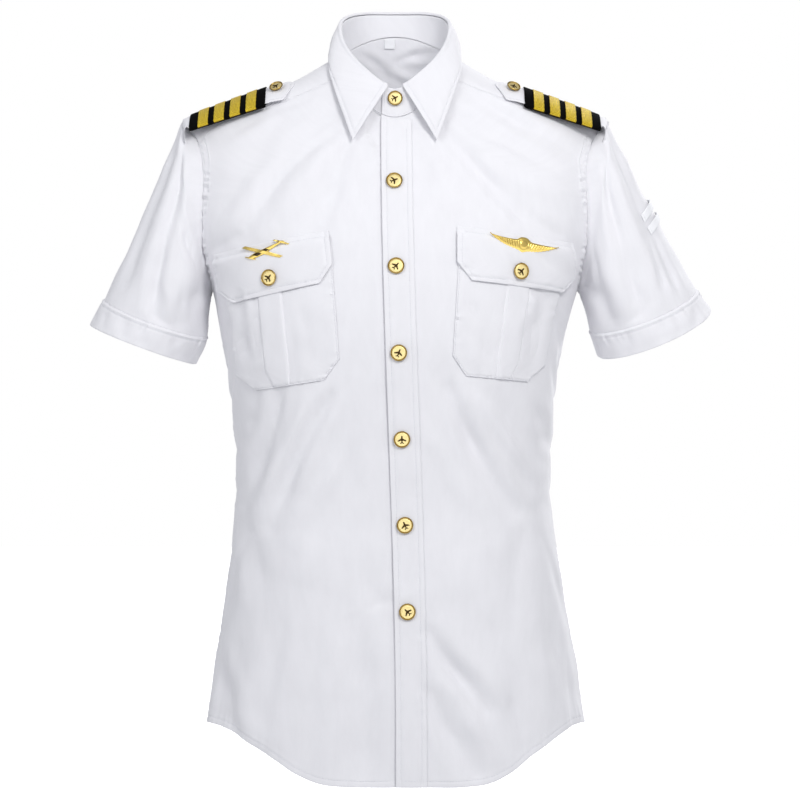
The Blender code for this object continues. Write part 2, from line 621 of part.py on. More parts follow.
def leaf_edge(share):
    """The leaf's outer edge, from the right point (share 0) round the back to the left point (share 1)."""
    table = np.array(LEAF_EDGE)
    way = 1 - np.abs(2 * share - 1)
    x, y, z = (smooth(way, table[:, 0], table[:, k]) for k in (1, 2, 3))
    return np.stack([np.where(share < 0.5, x, -x), y, z], axis=-1)


def make_leaf():
    """The collar leaf: folded over the stand's top edge and falling outside it to two points."""
    share = np.linspace(0, 1, LEAF_STEPS + 1)
    turns = LEAF_ENDS[1] + (360 + LEAF_ENDS[0] - LEAF_ENDS[1]) * share
    top = stand_top(turns)
    away = unit(np.stack([np.sin(np.radians(turns)), -np.cos(np.radians(turns)), 0 * turns], axis=-1))
    up = np.array([0, 0, 1.0])
    outside = [top + away * r + up * h for r, h in CREST_OUTSIDE]
    inside = [top + away * r + up * h for r, h in CREST_INSIDE]
    edge = leaf_edge(share)
    fall = []
    for row in np.linspace(0, 1, LEAF_ROWS + 1)[1:]:
        belly = LEAF_BELLY * 4 * row * (1 - row)
        fall.append(outside[-1] + (edge - outside[-1]) * row + away * belly)
    sheet = np.array([outside[-1]] + fall)
    thick = grid_normals(sheet)
    thick = thick * np.sign(np.sum(thick * away, axis=-1, keepdims=True))
    under = (sheet - thick * LEAF_THICK)[1:]
    add_wall("collar_leaf", np.array(outside + fall), np.array(inside + list(under)), "cotton")


def quad_patch(corners, columns, rows):
    """x, z over a four-cornered patch: columns run from its outer to its inner side, rows from top to foot."""
    outer_top, inner_top, inner_foot, outer_foot = (np.array(c) for c in corners)
    u, v = columns[..., None], rows[..., None]
    top = outer_top + (inner_top - outer_top) * u
    foot = outer_foot + (inner_foot - outer_foot) * u
    place = top + (foot - top) * v
    return place[..., 0], place[..., 1]


def cut_corners(columns, rows, corner):
    """Draws the columns in towards the middle below the row where the corners start."""
    start, width = corner
    inset = width * np.clip((rows - start) / (1 - start), 0, 1)
    return inset + columns * (1 - 2 * inset)


def pocket_base(x):
    """Height of a pocket's underside above the front, a little more where the front turns to the side."""
    return POCKET_LIFT + POCKET_BOW * ramp((np.abs(x) - 0.11) / 0.05)


def flap_outside(x):
    return pocket_base(x) + FLAP_STEP + WALL


def make_pocket(side):
    """Patch pocket with a raised pleat, and the flap that buttons over it."""
    hand = "right" if side < 0 else "left"
    edge = 0.008
    u = np.array([0, 0.15, PLEAT[0] - edge, PLEAT[0], sum(PLEAT) / 2, PLEAT[1], PLEAT[1] + edge, 0.68, 0.84, 1])
    v = np.append(np.linspace(0, POCKET_CORNER[0], 8), 1)
    columns, rows = np.meshgrid(u, v)
    raised = (PLEAT[0] - edge / 2 < columns) & (columns < PLEAT[1] + edge / 2)
    x, z = quad_patch(POCKET[side], cut_corners(columns, rows, POCKET_CORNER), rows)
    base = pocket_base(x)
    outer = on_front(x, z, base + WALL + PLEAT_PROUD * raised)
    add_wall("pocket_" + hand, outer, on_front(x, z, base), "cotton")

    v = np.append(np.linspace(0, FLAP_CORNER[0], 4), 1)
    columns, rows = np.meshgrid(np.linspace(0, 1, 9), v)
    x, z = quad_patch(FLAP[side], cut_corners(columns, rows, FLAP_CORNER), rows)
    base = pocket_base(x) + FLAP_STEP * ramp((rows - 0.06) / 0.12)
    add_wall("flap_" + hand, on_front(x, z, base + WALL), on_front(x, z, base), "cotton")


def make_placket():
    """The strip on the left front's edge, from the neck seam to the hem."""
    top = NECK_FRONT - 0.0022
    rows = np.linspace(0, 1, LEVELS + 1)
    z = (HEM_SIDE - HEM_DROP) + (top - HEM_SIDE + HEM_DROP) * rows
    z, across = np.meshgrid(z, np.linspace(0, PLACKET_WIDE, 4), indexing="ij")
    x = placket_edge(z) + across
    add_wall("placket", on_front(x, z, LIFT + WALL), on_front(x, z, LIFT), "cotton")


def on_strap(x, across, lift):
    """A point of the arch over the shoulder, and the arch's normal. across is the way from the strap's middle."""
    (x0, y0, z0), (x1, y1, z1) = STRAP_ARCH_ENDS
    share, fall = (np.abs(x) - x0) / (x1 - x0), (z1 - z0) / (x1 - x0)
    y = y0 + (y1 - y0) * share + across
    point = np.stack(np.broadcast_arrays(x, y, z0 + (z1 - z0) * share - y**2 / (2 * STRAP_ARCH)), axis=-1)
    normal = unit(np.stack(np.broadcast_arrays(-fall * np.sign(x), y / STRAP_ARCH, 1.0), axis=-1))
    return point + normal * np.asarray(lift)[..., None], normal


def strap_base(x):
    """Height of the strap's underside above the arch: it climbs over the board's lower layer."""
    return LIFT + (BOARD_WALL + GAP) * ramp((x - STRAP_ENDS[0] - STRAP_POINT) / 0.012)


def make_strap(side):
    """Shoulder strap with a pointed neck end, rising over the board's lower layer."""
    hand = "right" if side < 0 else "left"
    start, end = STRAP_ENDS
    along = np.concatenate([[start, start + STRAP_POINT], np.linspace(0.1215, end, 8)])
    across = np.linspace(-1, 1, 5)
    x, w = np.meshgrid(along, across, indexing="ij")
    blunt = 0.30 + 0.70 * ramp((x - start) / STRAP_POINT * 2) * (x > start)
    outer, normal = on_strap(side * x, w * STRAP_HALF * blunt, strap_base(x) + WALL)
    add_wall("strap_" + hand, outer, outer - normal * WALL, "cotton")


def make_board(side):
    """Slip-on board: a flat tube of cloth round the strap, with raised bars of braid across its top."""
    hand = "right" if side < 0 else "left"
    start, end = BOARD_ENDS
    edge = 0.0005
    bars = BAR_FIRST + BAR_PITCH * np.arange(BARS)
    stops = (bars[:, None] + np.array([-1, -1, 1, 1]) * BAR_WIDE / 2 + np.array([-edge, 0, 0, edge])).ravel()
    along = np.concatenate([[start], stops, [end]])
    raised = np.concatenate([[False], np.tile([False, True, True, False], BARS), [False]])
    across = np.linspace(-1, 1, 5)
    below, above = LIFT - 0.0001, STRAP_OUTSIDE + GAP + BOARD_WALL
    x, w = np.meshgrid(side * along, across, indexing="ij")
    half = BOARD_HALF[0] + (BOARD_HALF[1] - BOARD_HALF[0]) * (np.abs(x) - start) / (end - start)
    braid = np.where(raised[:, None] & (np.abs(w) < 0.99), BAR_PROUD, 0.0)
    cover, _ = on_strap(x, w * half, above + braid)
    floor, _ = on_strap(x, w * half, np.full(x.shape, below))
    outer = np.concatenate([cover, floor[:, ::-1]], axis=1)
    room = w * (half - BOARD_WALL - 0.0006)
    ceiling, _ = on_strap(x, room, np.full(x.shape, above - BOARD_WALL))
    ground, _ = on_strap(x, room, np.full(x.shape, below + BOARD_WALL))
    inner = np.concatenate([ceiling, ground[:, ::-1]], axis=1)
    add_wall("board_" + hand, outer, inner, "board", closed=True)


def add_button(name, centre, normal, radius, shank=0.0):
    """A turned metal button: a dished face inside a rounded rim, with a short shank if one is asked for."""
    turn = 2 * np.pi * np.arange(BUTTON_SIDES) / BUTTON_SIDES
    normal = unit(np.asarray(normal, float))
    right = unit(np.cross([0, 0, 1.0], normal))
    up = np.cross(normal, right)
    spokes = np.cos(turn)[:, None] * right + np.sin(turn)[:, None] * up
    profile = BUTTON_PROFILE[1:] + (((0.28, -0.0001), (0.28, -shank)) if shank else ())
    rings = np.array([centre + spokes * r * radius + normal * h for r, h in profile])
    tip, foot = (centre + normal * h for h in (BUTTON_PROFILE[0][1], -shank))
    points = np.concatenate([[tip], rings.reshape(-1, 3), [foot]])
    faces = (grid_faces(len(profile), BUTTON_SIDES, True, 1)).tolist()
    first, last, end = 1, 1 + (len(profile) - 1) * BUTTON_SIDES, len(points) - 1
    ring = np.arange(BUTTON_SIDES)
    faces += [[0, first + a, first + b] for a, b in zip(ring, np.roll(ring, -1))]
    faces += [[end, last + b, last + a] for a, b in zip(ring, np.roll(ring, -1))]
    add_object(name, points, faces, "gold")


def make_buttons():
    x, z = COLLAR_BUTTON
    turn = np.degrees(np.arcsin(x / STAND_HALF))
    foot, top = body(*neck(turn)), stand_top(turn)
    out = np.cross([1.0, 0, 0], unit(top - foot))
    share = (z - foot[2]) / (top[2] - foot[2])
    seat = foot + (top - foot) * share + out * 0.0006
    add_button("button_collar", seat, out, COLLAR_BUTTON_RADIUS)
    for number, z in enumerate(np.linspace(FIRST_BUTTON, LAST_BUTTON, FRONT_BUTTONS), 1):
        place_button(f"button_front_{number}", placket_edge(z) + PLACKET_WIDE / 2 - 0.0025, z, LIFT + WALL)
    for side, hand in ((-1, "right"), (1, "left")):
        place_button("button_pocket_" + hand, *POCKET_BUTTON[side], flap_outside(POCKET_BUTTON[side][0]))
        lift = strap_base(STRAP_BUTTON_X) + WALL + STRAP_BUTTON_RISE
        seat, normal = on_strap(np.array(side * STRAP_BUTTON_X), -STRAP_BUTTON_AHEAD, lift)
        lean = np.array([0, -np.tan(np.radians(STRAP_BUTTON_LEAN)), 0])
        add_button("button_strap_" + hand, seat, normal + lean, STRAP_BUTTON_RADIUS, STRAP_SHANK)


def place_button(name, x, z, outside):
    """A button whose flat back clears the cloth that curves away beneath it."""
    normal = body_normal(angle_at(x, z), np.asarray(z))
    add_button(name, on_front(x, z, outside + 0.0005), normal, BUTTON_RADIUS)


def pin_points(centre, tilt, u, v, lift):
    """Places a pin's own u, v over the flap, turned by tilt, at a height above the flap."""
    x = centre[0] + u * np.cos(tilt) - v * np.sin(tilt)
    z = centre[1] + u * np.sin(tilt) + v * np.cos(tilt)
    return on_front(x, z, flap_outside(x) + lift)


def make_wings():
    """Wings pin: two swept wings that taper to their tips from a round boss."""
    share = np.linspace(-1, 1, 19)
    far = np.abs(share)
    top = 0.0026 * np.exp(-((share * WINGS_HALF / 0.0055) ** 4)) - 0.0010 * np.sin(np.pi * far)
    low = -0.0112 * (1 - far**3)
    v = np.linspace(0, 1, 5)
    across = low[:, None] + np.maximum(top - low, 0.0007)[:, None] * v
    u = np.broadcast_to(share[:, None] * WINGS_HALF, across.shape)
    ridge = 0.0007 * np.sin(np.pi * v) + 0.0011 * np.exp(-((u / 0.0052) ** 2) - ((across + 0.0045) / 0.0048) ** 2)
    outer = pin_points(WINGS_CENTRE, WINGS_TILT, u, across, 0.0004 + PIN_THICK * 0.6 + ridge)
    inner = pin_points(WINGS_CENTRE, WINGS_TILT, u, across, np.full(u.shape, 0.0004))
    add_wall("pin_wings", outer, inner, "gold")


# Half of a light aeroplane seen from above, propeller to tail: distance along it, half width
PLANE_HALF = (
    (0.0132, 0.0007),
    (0.0130, 0.0034),
    (0.0120, 0.0034),
    (0.0117, 0.0016),
    (0.0090, 0.0022),
    (0.0026, 0.0026),
    (0.0021, 0.0125),
    (-0.0017, 0.0125),
    (-0.0023, 0.0022),
    (-0.0140, 0.0011),
    (-0.0182, 0.0009),
    (-0.0186, 0.0050),
    (-0.0206, 0.0050),
    (-0.0211, 0.0010),
    (-0.0220, 0.0006),
)


def make_plane():
    """Aeroplane pin: a light aeroplane with straight wings, nose down to the side and seen at a slant."""
    half = np.array(PLANE_HALF)
    share = np.array([-1, -0.5, 0, 0.5, 1])
    v = half[:, 1:] * share
    u = half[:, :1] + PLANE_LEAN * v
    ridge = np.array([0, 0.0003, 0.0011, 0.0003, 0])
    outer = pin_points(PLANE_CENTRE, PLANE_TILT, u, v, 0.0004 + PIN_THICK * 0.7 + ridge)
    inner = pin_points(PLANE_CENTRE, PLANE_TILT, u, v, np.full(u.shape, 0.0004))
    add_wall("pin_plane", outer, inner, "gold")


def make_loops():
    """Two short tapes on the left sleeve, each sewn down at both ends and standing up between."""
    rings = sleeve_rings(1)
    normals = grid_outward(rings)
    for name, (degrees, row) in LOOPS.items():
        along = np.linspace(-1, 1, 7)
        across = np.linspace(-1, 1, 3)
        turn, level = np.meshgrid(degrees + along * LOOP_ARC, row + across * LOOP_ROWS, indexing="ij")
        seat, out = ring_point(rings, turn, level), unit(ring_point(normals, turn, level))
        rise = (LIFT + LOOP_RISE * (1 - along**4))[:, None, None]
        add_wall(name, seat + out * (rise + WALL), seat + out * rise, "cotton")


def ring_point(rings, degrees, level):
    """Reads a grid of rings between its points."""
    place = degrees / 360 * ARM_STEPS
    c, r = np.floor(place).astype(int), np.floor(level).astype(int)
    s, t = (place - c)[..., None], (level - r)[..., None]
    near = rings[r, c % ARM_STEPS] * (1 - s) + rings[r, (c + 1) % ARM_STEPS] * s
    far = rings[r + 1, c % ARM_STEPS] * (1 - s) + rings[r + 1, (c + 1) % ARM_STEPS] * s
    return near * (1 - t) + far * t


def make_label():
    """The small folded tape that hangs inside the back of the neck seam."""
    x0, z0 = LABEL_CENTRE
    x, z = np.meshgrid(x0 + np.linspace(-1, 1, 3) * LABEL_HALF, z0 - np.linspace(0, 1, 3) * LABEL_TALL - 0.0010)
    angle = np.pi - angle_at(x, z)
    inside = body(angle, z, -WALL - LIFT)
    add_wall("neck_label", inside, inside - body_normal(angle, z) * 0.0010, "cotton")


# Ends of the neck seam in degrees: under the placket's visible edge, and where the right front stops
NECK_ENDS = tuple(np.degrees(np.arcsin(x / NECK_HALF)) for x in (PLACKET_TOP, PLACKET_TOP + LAP_WIDE))
BACK_COLUMNS = 16
YOKE_COLUMNS = 2 * (YOKE_FRONT + YOKE_REAR) + BACK_COLUMNS

clear_scene()
make_fronts()
make_placket()
make_back()
make_yoke()
for wearer_side in (-1, 1):
    make_sleeve(wearer_side)
    make_pocket(wearer_side)
    make_strap(wearer_side)
    make_board(wearer_side)
make_stand()
make_leaf()
make_buttons()
make_wings()
make_plane()
make_loops()
make_label()
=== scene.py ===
"""Short-sleeved pilot shirt with its sewing, boards, buttons and pins, in metres, front towards -Y."""

import bpy
import numpy as np
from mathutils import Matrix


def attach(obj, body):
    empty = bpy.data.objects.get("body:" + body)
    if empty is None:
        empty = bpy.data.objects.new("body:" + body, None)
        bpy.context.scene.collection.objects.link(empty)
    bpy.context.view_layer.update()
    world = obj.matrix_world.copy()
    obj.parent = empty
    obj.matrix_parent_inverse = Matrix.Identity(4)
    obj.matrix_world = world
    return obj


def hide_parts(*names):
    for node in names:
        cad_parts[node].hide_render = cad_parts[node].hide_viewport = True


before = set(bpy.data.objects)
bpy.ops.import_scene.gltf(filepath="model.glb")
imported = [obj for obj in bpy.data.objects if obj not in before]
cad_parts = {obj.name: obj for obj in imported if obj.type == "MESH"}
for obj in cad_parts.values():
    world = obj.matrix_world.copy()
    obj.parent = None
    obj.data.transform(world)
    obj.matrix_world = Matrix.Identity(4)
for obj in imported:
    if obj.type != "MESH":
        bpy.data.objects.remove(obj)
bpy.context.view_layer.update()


# ---- The two fronts -------------------------------------------------------------------------------
# Shirt-weight white cotton, one panel each side of the placket. They are felled to the sleeves, sewn
# to the yoke and to the back at the sides, and hemmed narrow along the curved tails.
WALL = 0.0011
GAP, SEAM_GAP = 0.0003, 0.00004
# The worn body form, hem to neck: level, half width, middle, front depth, back depth, two powers
BODY = np.array(
    (
        (-0.720, 0.1940, 0.001, 0.121, 0.120, 2.4, 2.3),
        (-0.660, 0.1885, 0.001, 0.120, 0.118, 2.4, 2.3),
        (-0.610, 0.1815, 0.001, 0.118, 0.114, 2.4, 2.3),
        (-0.550, 0.1715, 0.000, 0.115, 0.107, 2.4, 2.3),
        (-0.490, 0.1630, -0.001, 0.112, 0.099, 2.4, 2.3),
        (-0.440, 0.1575, -0.002, 0.110, 0.093, 2.4, 2.3),
        (-0.400, 0.1570, -0.002, 0.112, 0.093, 2.4, 2.3),
        (-0.340, 0.1610, -0.002, 0.117, 0.099, 2.4, 2.3),
        (-0.290, 0.1680, -0.002, 0.121, 0.105, 2.4, 2.3),
        (-0.250, 0.1765, -0.001, 0.121, 0.109, 2.4, 2.3),
        (-0.228, 0.1815, 0.000, 0.119, 0.111, 2.4, 2.3),
        (-0.190, 0.1955, 0.000, 0.112, 0.111, 2.5, 2.3),
        (-0.150, 0.2045, 0.000, 0.100, 0.108, 2.6, 2.2),
        (-0.110, 0.2085, 0.000, 0.086, 0.102, 2.4, 2.1),
        (-0.080, 0.2095, 0.000, 0.074, 0.095, 2.0, 2.0),
        (-0.066, 0.2060, 0.000, 0.068, 0.091, 1.8, 2.0),
        (-0.058, 0.1960, 0.000, 0.065, 0.088, 1.8, 2.0),
        (-0.045, 0.1640, 0.000, 0.062, 0.082, 1.8, 2.0),
        (-0.030, 0.1260, 0.000, 0.059, 0.075, 1.8, 2.0),
        (-0.019, 0.0995, 0.000, 0.057, 0.070, 1.8, 2.0),
        (-0.010, 0.0830, 0.000, 0.056, 0.066, 1.85, 2.0),
        (-0.004, 0.0730, 0.000, 0.055, 0.063, 1.9, 2.0),
        (0.004, 0.0600, 0.000, 0.054, 0.059, 2.0, 2.0),
        (0.012, 0.0565, 0.000, 0.053, 0.056, 2.0, 2.0),
        (0.030, 0.0545, 0.000, 0.051, 0.051, 2.0, 2.0),
        (0.060, 0.0530, 0.000, 0.049, 0.045, 2.0, 2.0),
    )
)
HEM_SIDE, HEM_DROP = -0.660, 0.051
HEM_ANGLE = (0, 14, 21, 28, 36, 46, 59, 72, 90)
HEM_SHARE = (1, 1.0, 0.95, 0.79, 0.53, 0.265, 0.025, -0.06, 0)
HEM_LEAN = np.radians(3.2)
NECK_FRONT, NECK_SIDE, NECK_BACK, NECK_HALF = -0.061, 0.004, 0.030, 0.060
YOKE_AT_NECK = 56.25
ARM_MIDDLE, ARM_HALF, ARM_FRONT, ARM_REAR, ARM_STEPS = -0.147, 0.081, 0.046, 0.054, 28
PLACKET_TOP, PLACKET_FOOT, PLACKET_WIDE, LAP_WIDE = -0.0135, 0.0010, 0.0300, 0.0260
LAP_SINK, LAP_DROP, LAP_AT_NECK = WALL + GAP + 0.0008, 0.0015, 0.010
NECK_ENDS = tuple(np.degrees(np.arcsin(x / NECK_HALF)) for x in (PLACKET_TOP, PLACKET_TOP + LAP_WIDE))
# Big folds as from x, z, to x, z, width, height, millimetres in front view
FRONT_FOLDS = (
    (83, -71, 172, -125, 11, -3.0),
    (117, -134, 172, -163, 10, -2.5),
    (102, -110, 173, -146, 10, 2.0),
    (-92, -46, -172, -144, 14, -2.5),
    (-53, -95, -148, -158, 14, 1.5),
    (-53, -95, -72, -168, 12, -2.0),
    (-112, -333, -146, -426, 14, -3.0),
    (-73, -338, -102, -455, 16, 2.5),
    (102, -338, 131, -411, 12, -3.0),
    (44, -319, 97, -416, 14, -2.5),
    (73, -338, 122, -435, 12, 2.0),
    (-75, -470, -90, -520, 30, 3.0),
    (60, -480, 75, -530, 30, 3.0),
    (-150, -533, -165, -640, 12, -3.0),
    (34, -571, 88, -630, 10, -3.0),
    (39, -625, 78, -683, 10, -3.0),
    (63, -571, 102, -620, 12, 2.0),
    (151, -533, 172, -630, 10, -2.5),
    (-48, -557, -53, -630, 18, 2.0),
)
BACK_FOLDS = (
    (-60, -330, -85, -430, 14, -3.0),
    (62, -322, 84, -440, 14, -3.0),
    (-4, -350, 8, -470, 20, 2.5),
    (-100, -500, -125, -620, 14, -3.0),
    (104, -512, 130, -628, 14, -3.0),
    (-35, -490, -42, -640, 18, 2.0),
    (40, -520, 52, -655, 18, 2.0),
    (-158, -150, -78, -214, 14, -2.5),
    (158, -145, 84, -206, 14, -2.5),
)
# Smaller creases as from x, z, to x, z, sideways bow, width, height, millimetres in front view
FRONT_CREASES = (
    (48, -72, 159, -177, -7, 8, -4.8),
    (66, -32, 184, -100, 0, 8, -3.6),
    (104, -30, 190, -72, 3, 8, -2.2),
    (50, -58, 78, -66, 2, 5, -1.4),
    (80, -84, 176, -136, 4, 8, 2.6),
    (36, -92, 70, -160, -4, 9, 2.0),
    (96, -138, 136, -178, 3, 7, -2.0),
    (186, -206, 150, -168, -4, 7, -1.8),
    (184, -226, 120, -176, 4, 7, -1.2),
    (-62, -78, -143, -168, -8, 8, -4.2),
    (-58, -60, -112, -104, -3, 7, -2.6),
    (-74, -106, -122, -180, 5, 10, 3.0),
    (-48, -96, -74, -176, 4, 8, -2.8),
    (-88, -40, -176, -84, -4, 8, -2.4),
    (-184, -196, -146, -176, 3, 7, -2.6),
    (-186, -166, -150, -126, -4, 7, -1.2),
    (-112, -62, -172, -100, 4, 9, -1.2),
    (-44, -108, -60, -176, -4, 8, 0.9),
    (-150, -236, -136, -312, -4, 6, -2.2),
    (-166, -250, -158, -304, 2, 5, -1.4),
    (-96, -238, -84, -300, 3, 9, -0.9),
    (132, -230, 152, -246, 2, 6, -2.0),
    (149, -236, 128, -276, 3, 6, -1.8),
    (-137, -330, -150, -378, 3, 8, -2.2),
    (-112, -336, -150, -440, 2, 7, -4.8),
    (-62, -336, -122, -462, -3, 8, -5.2),
    (-88, -340, -138, -456, 3, 8, 3.4),
    (-40, -372, -92, -480, -4, 9, 2.4),
    (-58, -390, -102, -442, 4, 8, -2.0),
    (-44, -330, -40, -430, -4, 10, -1.4),
    (54, -328, 118, -446, -5, 8, -5.4),
    (84, -340, 140, -430, 4, 8, 3.4),
    (40, -380, 88, -480, 4, 9, 2.4),
    (95, -368, 150, -440, -3, 7, -2.6),
    (136, -340, 152, -382, 2, 6, -2.8),
    (-18, -522, -12, -542, 2, 12, -2.8),
    (-148, -450, -128, -560, 5, 10, -1.8),
    (-160, -500, -170, -566, 4, 6, -2.2),
    (-108, -560, -128, -676, -5, 10, -2.2),
    (-84, -600, -96, -700, 4, 10, 1.0),
    (-178, -586, -160, -672, 4, 8, -4.0),
    (-38, -556, -27, -730, 3, 16, -4.8),
    (-164, -650, -112, -692, -5, 9, -1.8),
    (-70, -610, -64, -708, 4, 10, 1.4),
    (34, -562, 90, -638, -3, 8, -4.6),
    (34, -620, 78, -698, -4, 8, -4.8),
    (50, -602, 92, -682, 3, 8, 3.0),
    (96, -560, 132, -650, 5, 9, -1.9),
    (130, -450, 116, -560, -5, 10, -1.7),
    (176, -578, 184, -652, 3, 7, -2.4),
    (150, -560, 170, -642, 4, 8, -1.6),
    (112, -620, 138, -694, -4, 8, -2.0),
)
BACK_CREASES = (
    (4, 8, 50, 12, 3, 4, 2.5),
    (0, -3, 46, -13, -3, 5, -2.7),
    (-34, 12, -8, -9, 3, 4, 2.0),
    (-182, -205, -118, -158, -4, 8, -3.5),
    (182, -208, 116, -160, 4, 8, -3.5),
    (-186, -178, -120, -124, 4, 7, 2.5),
    (186, -176, 122, -126, -4, 7, 2.5),
    (-60, -96, -52, -220, 4, 10, -2.5),
    (58, -96, 50, -226, -4, 10, -2.5),
    (-152, -350, -96, -392, 4, 7, -3.2),
    (154, -346, 98, -396, -4, 7, -3.2),
    (-150, -402, -84, -424, -4, 7, -2.8),
    (152, -398, 86, -430, 4, 7, -2.8),
    (-112, -300, -70, -400, 4, 8, 2.2),
    (110, -300, 72, -404, -4, 8, 2.2),
    (-24, -240, -30, -400, 4, 10, -2.2),
    (28, -260, 22, -420, -4, 10, -2.2),
    (-76, -470, -92, -640, -5, 9, -2.9),
    (78, -480, 96, -650, 5, 9, -2.9),
    (-8, -500, 4, -690, 5, 10, -2.5),
    (-132, -560, -150, -668, 4, 8, -2.8),
    (134, -556, 152, -664, -4, 8, -2.8),
    (-60, -620, -66, -706, 3, 7, 2.0),
    (64, -610, 58, -704, -3, 7, 2.0),
)
# Creases seen from the side, the same on both: from y, z, to y, z, bow, width, height
SIDE_CREASES = (
    (-70, -250, 10, -330, 4, 8, -2.0),
    (-50, -300, 30, -372, -4, 7, -1.8),
    (60, -262, -8, -352, 4, 8, -1.8),
    (-60, -376, 40, -402, 5, 8, -1.2),
    (-46, -418, 50, -436, -4, 8, -1.1),
    (-60, -470, -20, -580, 5, 8, -1.5),
    (48, -480, 18, -600, -5, 8, -1.5),
    (-44, -590, -62, -690, 4, 7, -1.6),
    (40, -600, 60, -690, -4, 7, -1.6),
    (4, -560, -4, -664, 3, 7, -1.6),
)
COTTON_COLOUR = (0.800, 0.795, 0.825)
# Lockstitch: pitch, length and width of a stitch, how flat its bead is and how far it stands out
STITCH_PITCH, STITCH_LONG, STITCH_WIDE, STITCH_FLAT, STITCH_OUT = 0.0028, 0.0020, 0.00042, 0.6, 0.25
# Wavelengths of the ripples beside a seam, the length they come and go over, the thread's groove
PUCKER_WAVES, PUCKER_SPELL, GROOVE_WIDE, GROOVE_DEEP = (0.0061, 0.0083, 0.0131), 0.071, 0.0009, 0.00045
# Hem and felled seam: width, how far the stitches lie inside its edge, and height
HEM_WIDE, FELL_WIDE, TURNING_STITCH = 0.0075, 0.0090, 0.0012
HEM_PROUD, FELL_PROUD = 0.00035, 0.0007
# Distance of the stitches from a plain seam and from the side seam
SEAM_STITCH, SIDE_STITCH = 0.0016, 0.0060
# Closer grid columns towards an edge that is felled, and one that is stitched, in millimetres
FELLED_EDGE = (0, 0.35, 0.9, 1.6, 2.4, 3.4, 4.6, 5.8, 6.8, 7.6, 8.4, 9.2, 10.2, 11.6)
STITCHED_EDGE = (0, 0.3, 0.7, 1.3, 2.2, 3.2, 4.2, 5.0, 5.8, 6.8)


def unit(vectors):
    """Vectors brought to length one."""
    return vectors / np.maximum(np.linalg.norm(vectors, axis=-1, keepdims=True), 1e-12)


def smooth(x, xs, ys):
    """Cubic curve through a table: each row's slope is the one between its two neighbours."""
    xs, ys = np.asarray(xs, float), np.asarray(ys, float)
    x = np.asarray(x, float)
    slopes = np.gradient(ys, xs, axis=0)
    i = np.clip(np.searchsorted(xs, x) - 1, 0, len(xs) - 2)
    h = xs[i + 1] - xs[i]
    t = np.clip((x - xs[i]) / h, 0, 1)
    h, t = (a.reshape(a.shape + (1,) * (ys.ndim - 1)) for a in (h, t))
    rise = (1 + 2 * t) * (1 - t) ** 2 * ys[i] + t * t * (3 - 2 * t) * ys[i + 1]
    return rise + h * t * (1 - t) * ((1 - t) * slopes[i] - t * slopes[i + 1])


def ramp(x):
    """0 below 0, 1 above 1, and a soft S between."""
    t = np.clip(x, 0, 1)
    return t * t * (3 - 2 * t)


def bell(x):
    """1 at 0, falling off on both sides as e to the minus x squared."""
    return np.exp(-np.square(x))


def section(z):
    """The body form's row at a level: half width, middle, front depth, back depth and two powers."""
    row = smooth(z, BODY[:, 0], BODY[:, 1:])
    return np.moveaxis(row, -1, 0)


def soft_folds(u, v, folds):
    """Sum of soft folds: each is highest along its line, falls off as a bell and tapers to its ends."""
    total = np.zeros(np.broadcast(u, v).shape)
    for u1, v1, u2, v2, width, height in folds:
        along = np.hypot(u2 - u1, v2 - v1)
        near = np.clip(((u - u1) * (u2 - u1) + (v - v1) * (v2 - v1)) / along**2, 0, 1)
        off = np.hypot(u - u1 - near * (u2 - u1), v - v1 - near * (v2 - v1))
        total += height * 0.001 * (0.35 + 0.65 * np.sin(np.pi * near)) * bell(off / width)
    return total


def creases(u, v, rows):
    """Sum of bowed creases. Across, each is a bell with one steep and one slack flank and a low
    shoulder of the other sign on both sides. Along, it swells unevenly and fades past both ends."""
    total = np.zeros(np.broadcast(u, v).shape)
    for u1, v1, u2, v2, bow, width, height in rows:
        long = np.hypot(u2 - u1, v2 - v1)
        du, dv = (u2 - u1) / long, (v2 - v1) / long
        along = ((u - u1) * du + (v - v1) * dv) / long
        near = np.clip(along, 0, 1)
        off = (v - v1) * du - (u - u1) * dv - bow * 4 * near * (1 - near)
        reach = width * (0.75 + 0.5 * near)
        flank = reach * np.where(off > 0, 0.8, 1.3)
        swell = (0.45 + 0.55 * np.sin(np.pi * near)) * (1 + 0.22 * np.sin(11 * near + u1))
        across = bell(off / flank) - 0.3 * bell((np.abs(off) - 2.0 * reach) / reach)
        total += height * 0.001 * swell * across * bell((along - near) * long / width)
    return total


def uneven(points, longest, height, seed):
    """Low waves of several lengths and directions through space, for cloth that is never quite flat."""
    draw = np.random.default_rng(seed)
    total = np.zeros(points.shape[:-1])
    for _ in range(18):
        length = longest * draw.uniform(0.3, 1.0)
        direction = unit(draw.normal(size=3)) * 2 * np.pi / length
        total += length / longest * np.sin(points @ direction + draw.uniform(0, 2 * np.pi))
    return height * total / 3


def plain_body(angle, z):
    """The body form without folds: a squared oval. The angle runs from the centre front to +X."""
    half, middle, front, back, wide, deep = section(z)
    s, c = np.sin(angle), np.cos(angle)
    x = middle + half * np.sign(s) * np.abs(s) ** (2 / wide)
    y = -np.where(c > 0, front, back) * np.sign(c) * np.abs(c) ** (2 / deep)
    return np.stack(np.broadcast_arrays(x, y, z), axis=-1)


def body_normal(angle, z, step=0.004):
    """The form's outward direction: across a short step round crossed with a short step up."""
    angle, z = np.broadcast_arrays(np.asarray(angle, float), np.asarray(z, float))
    round_it = plain_body(angle + step, z) - plain_body(angle - step, z)
    up_it = plain_body(angle, z + step) - plain_body(angle, z - step)
    return unit(np.cross(round_it, up_it))


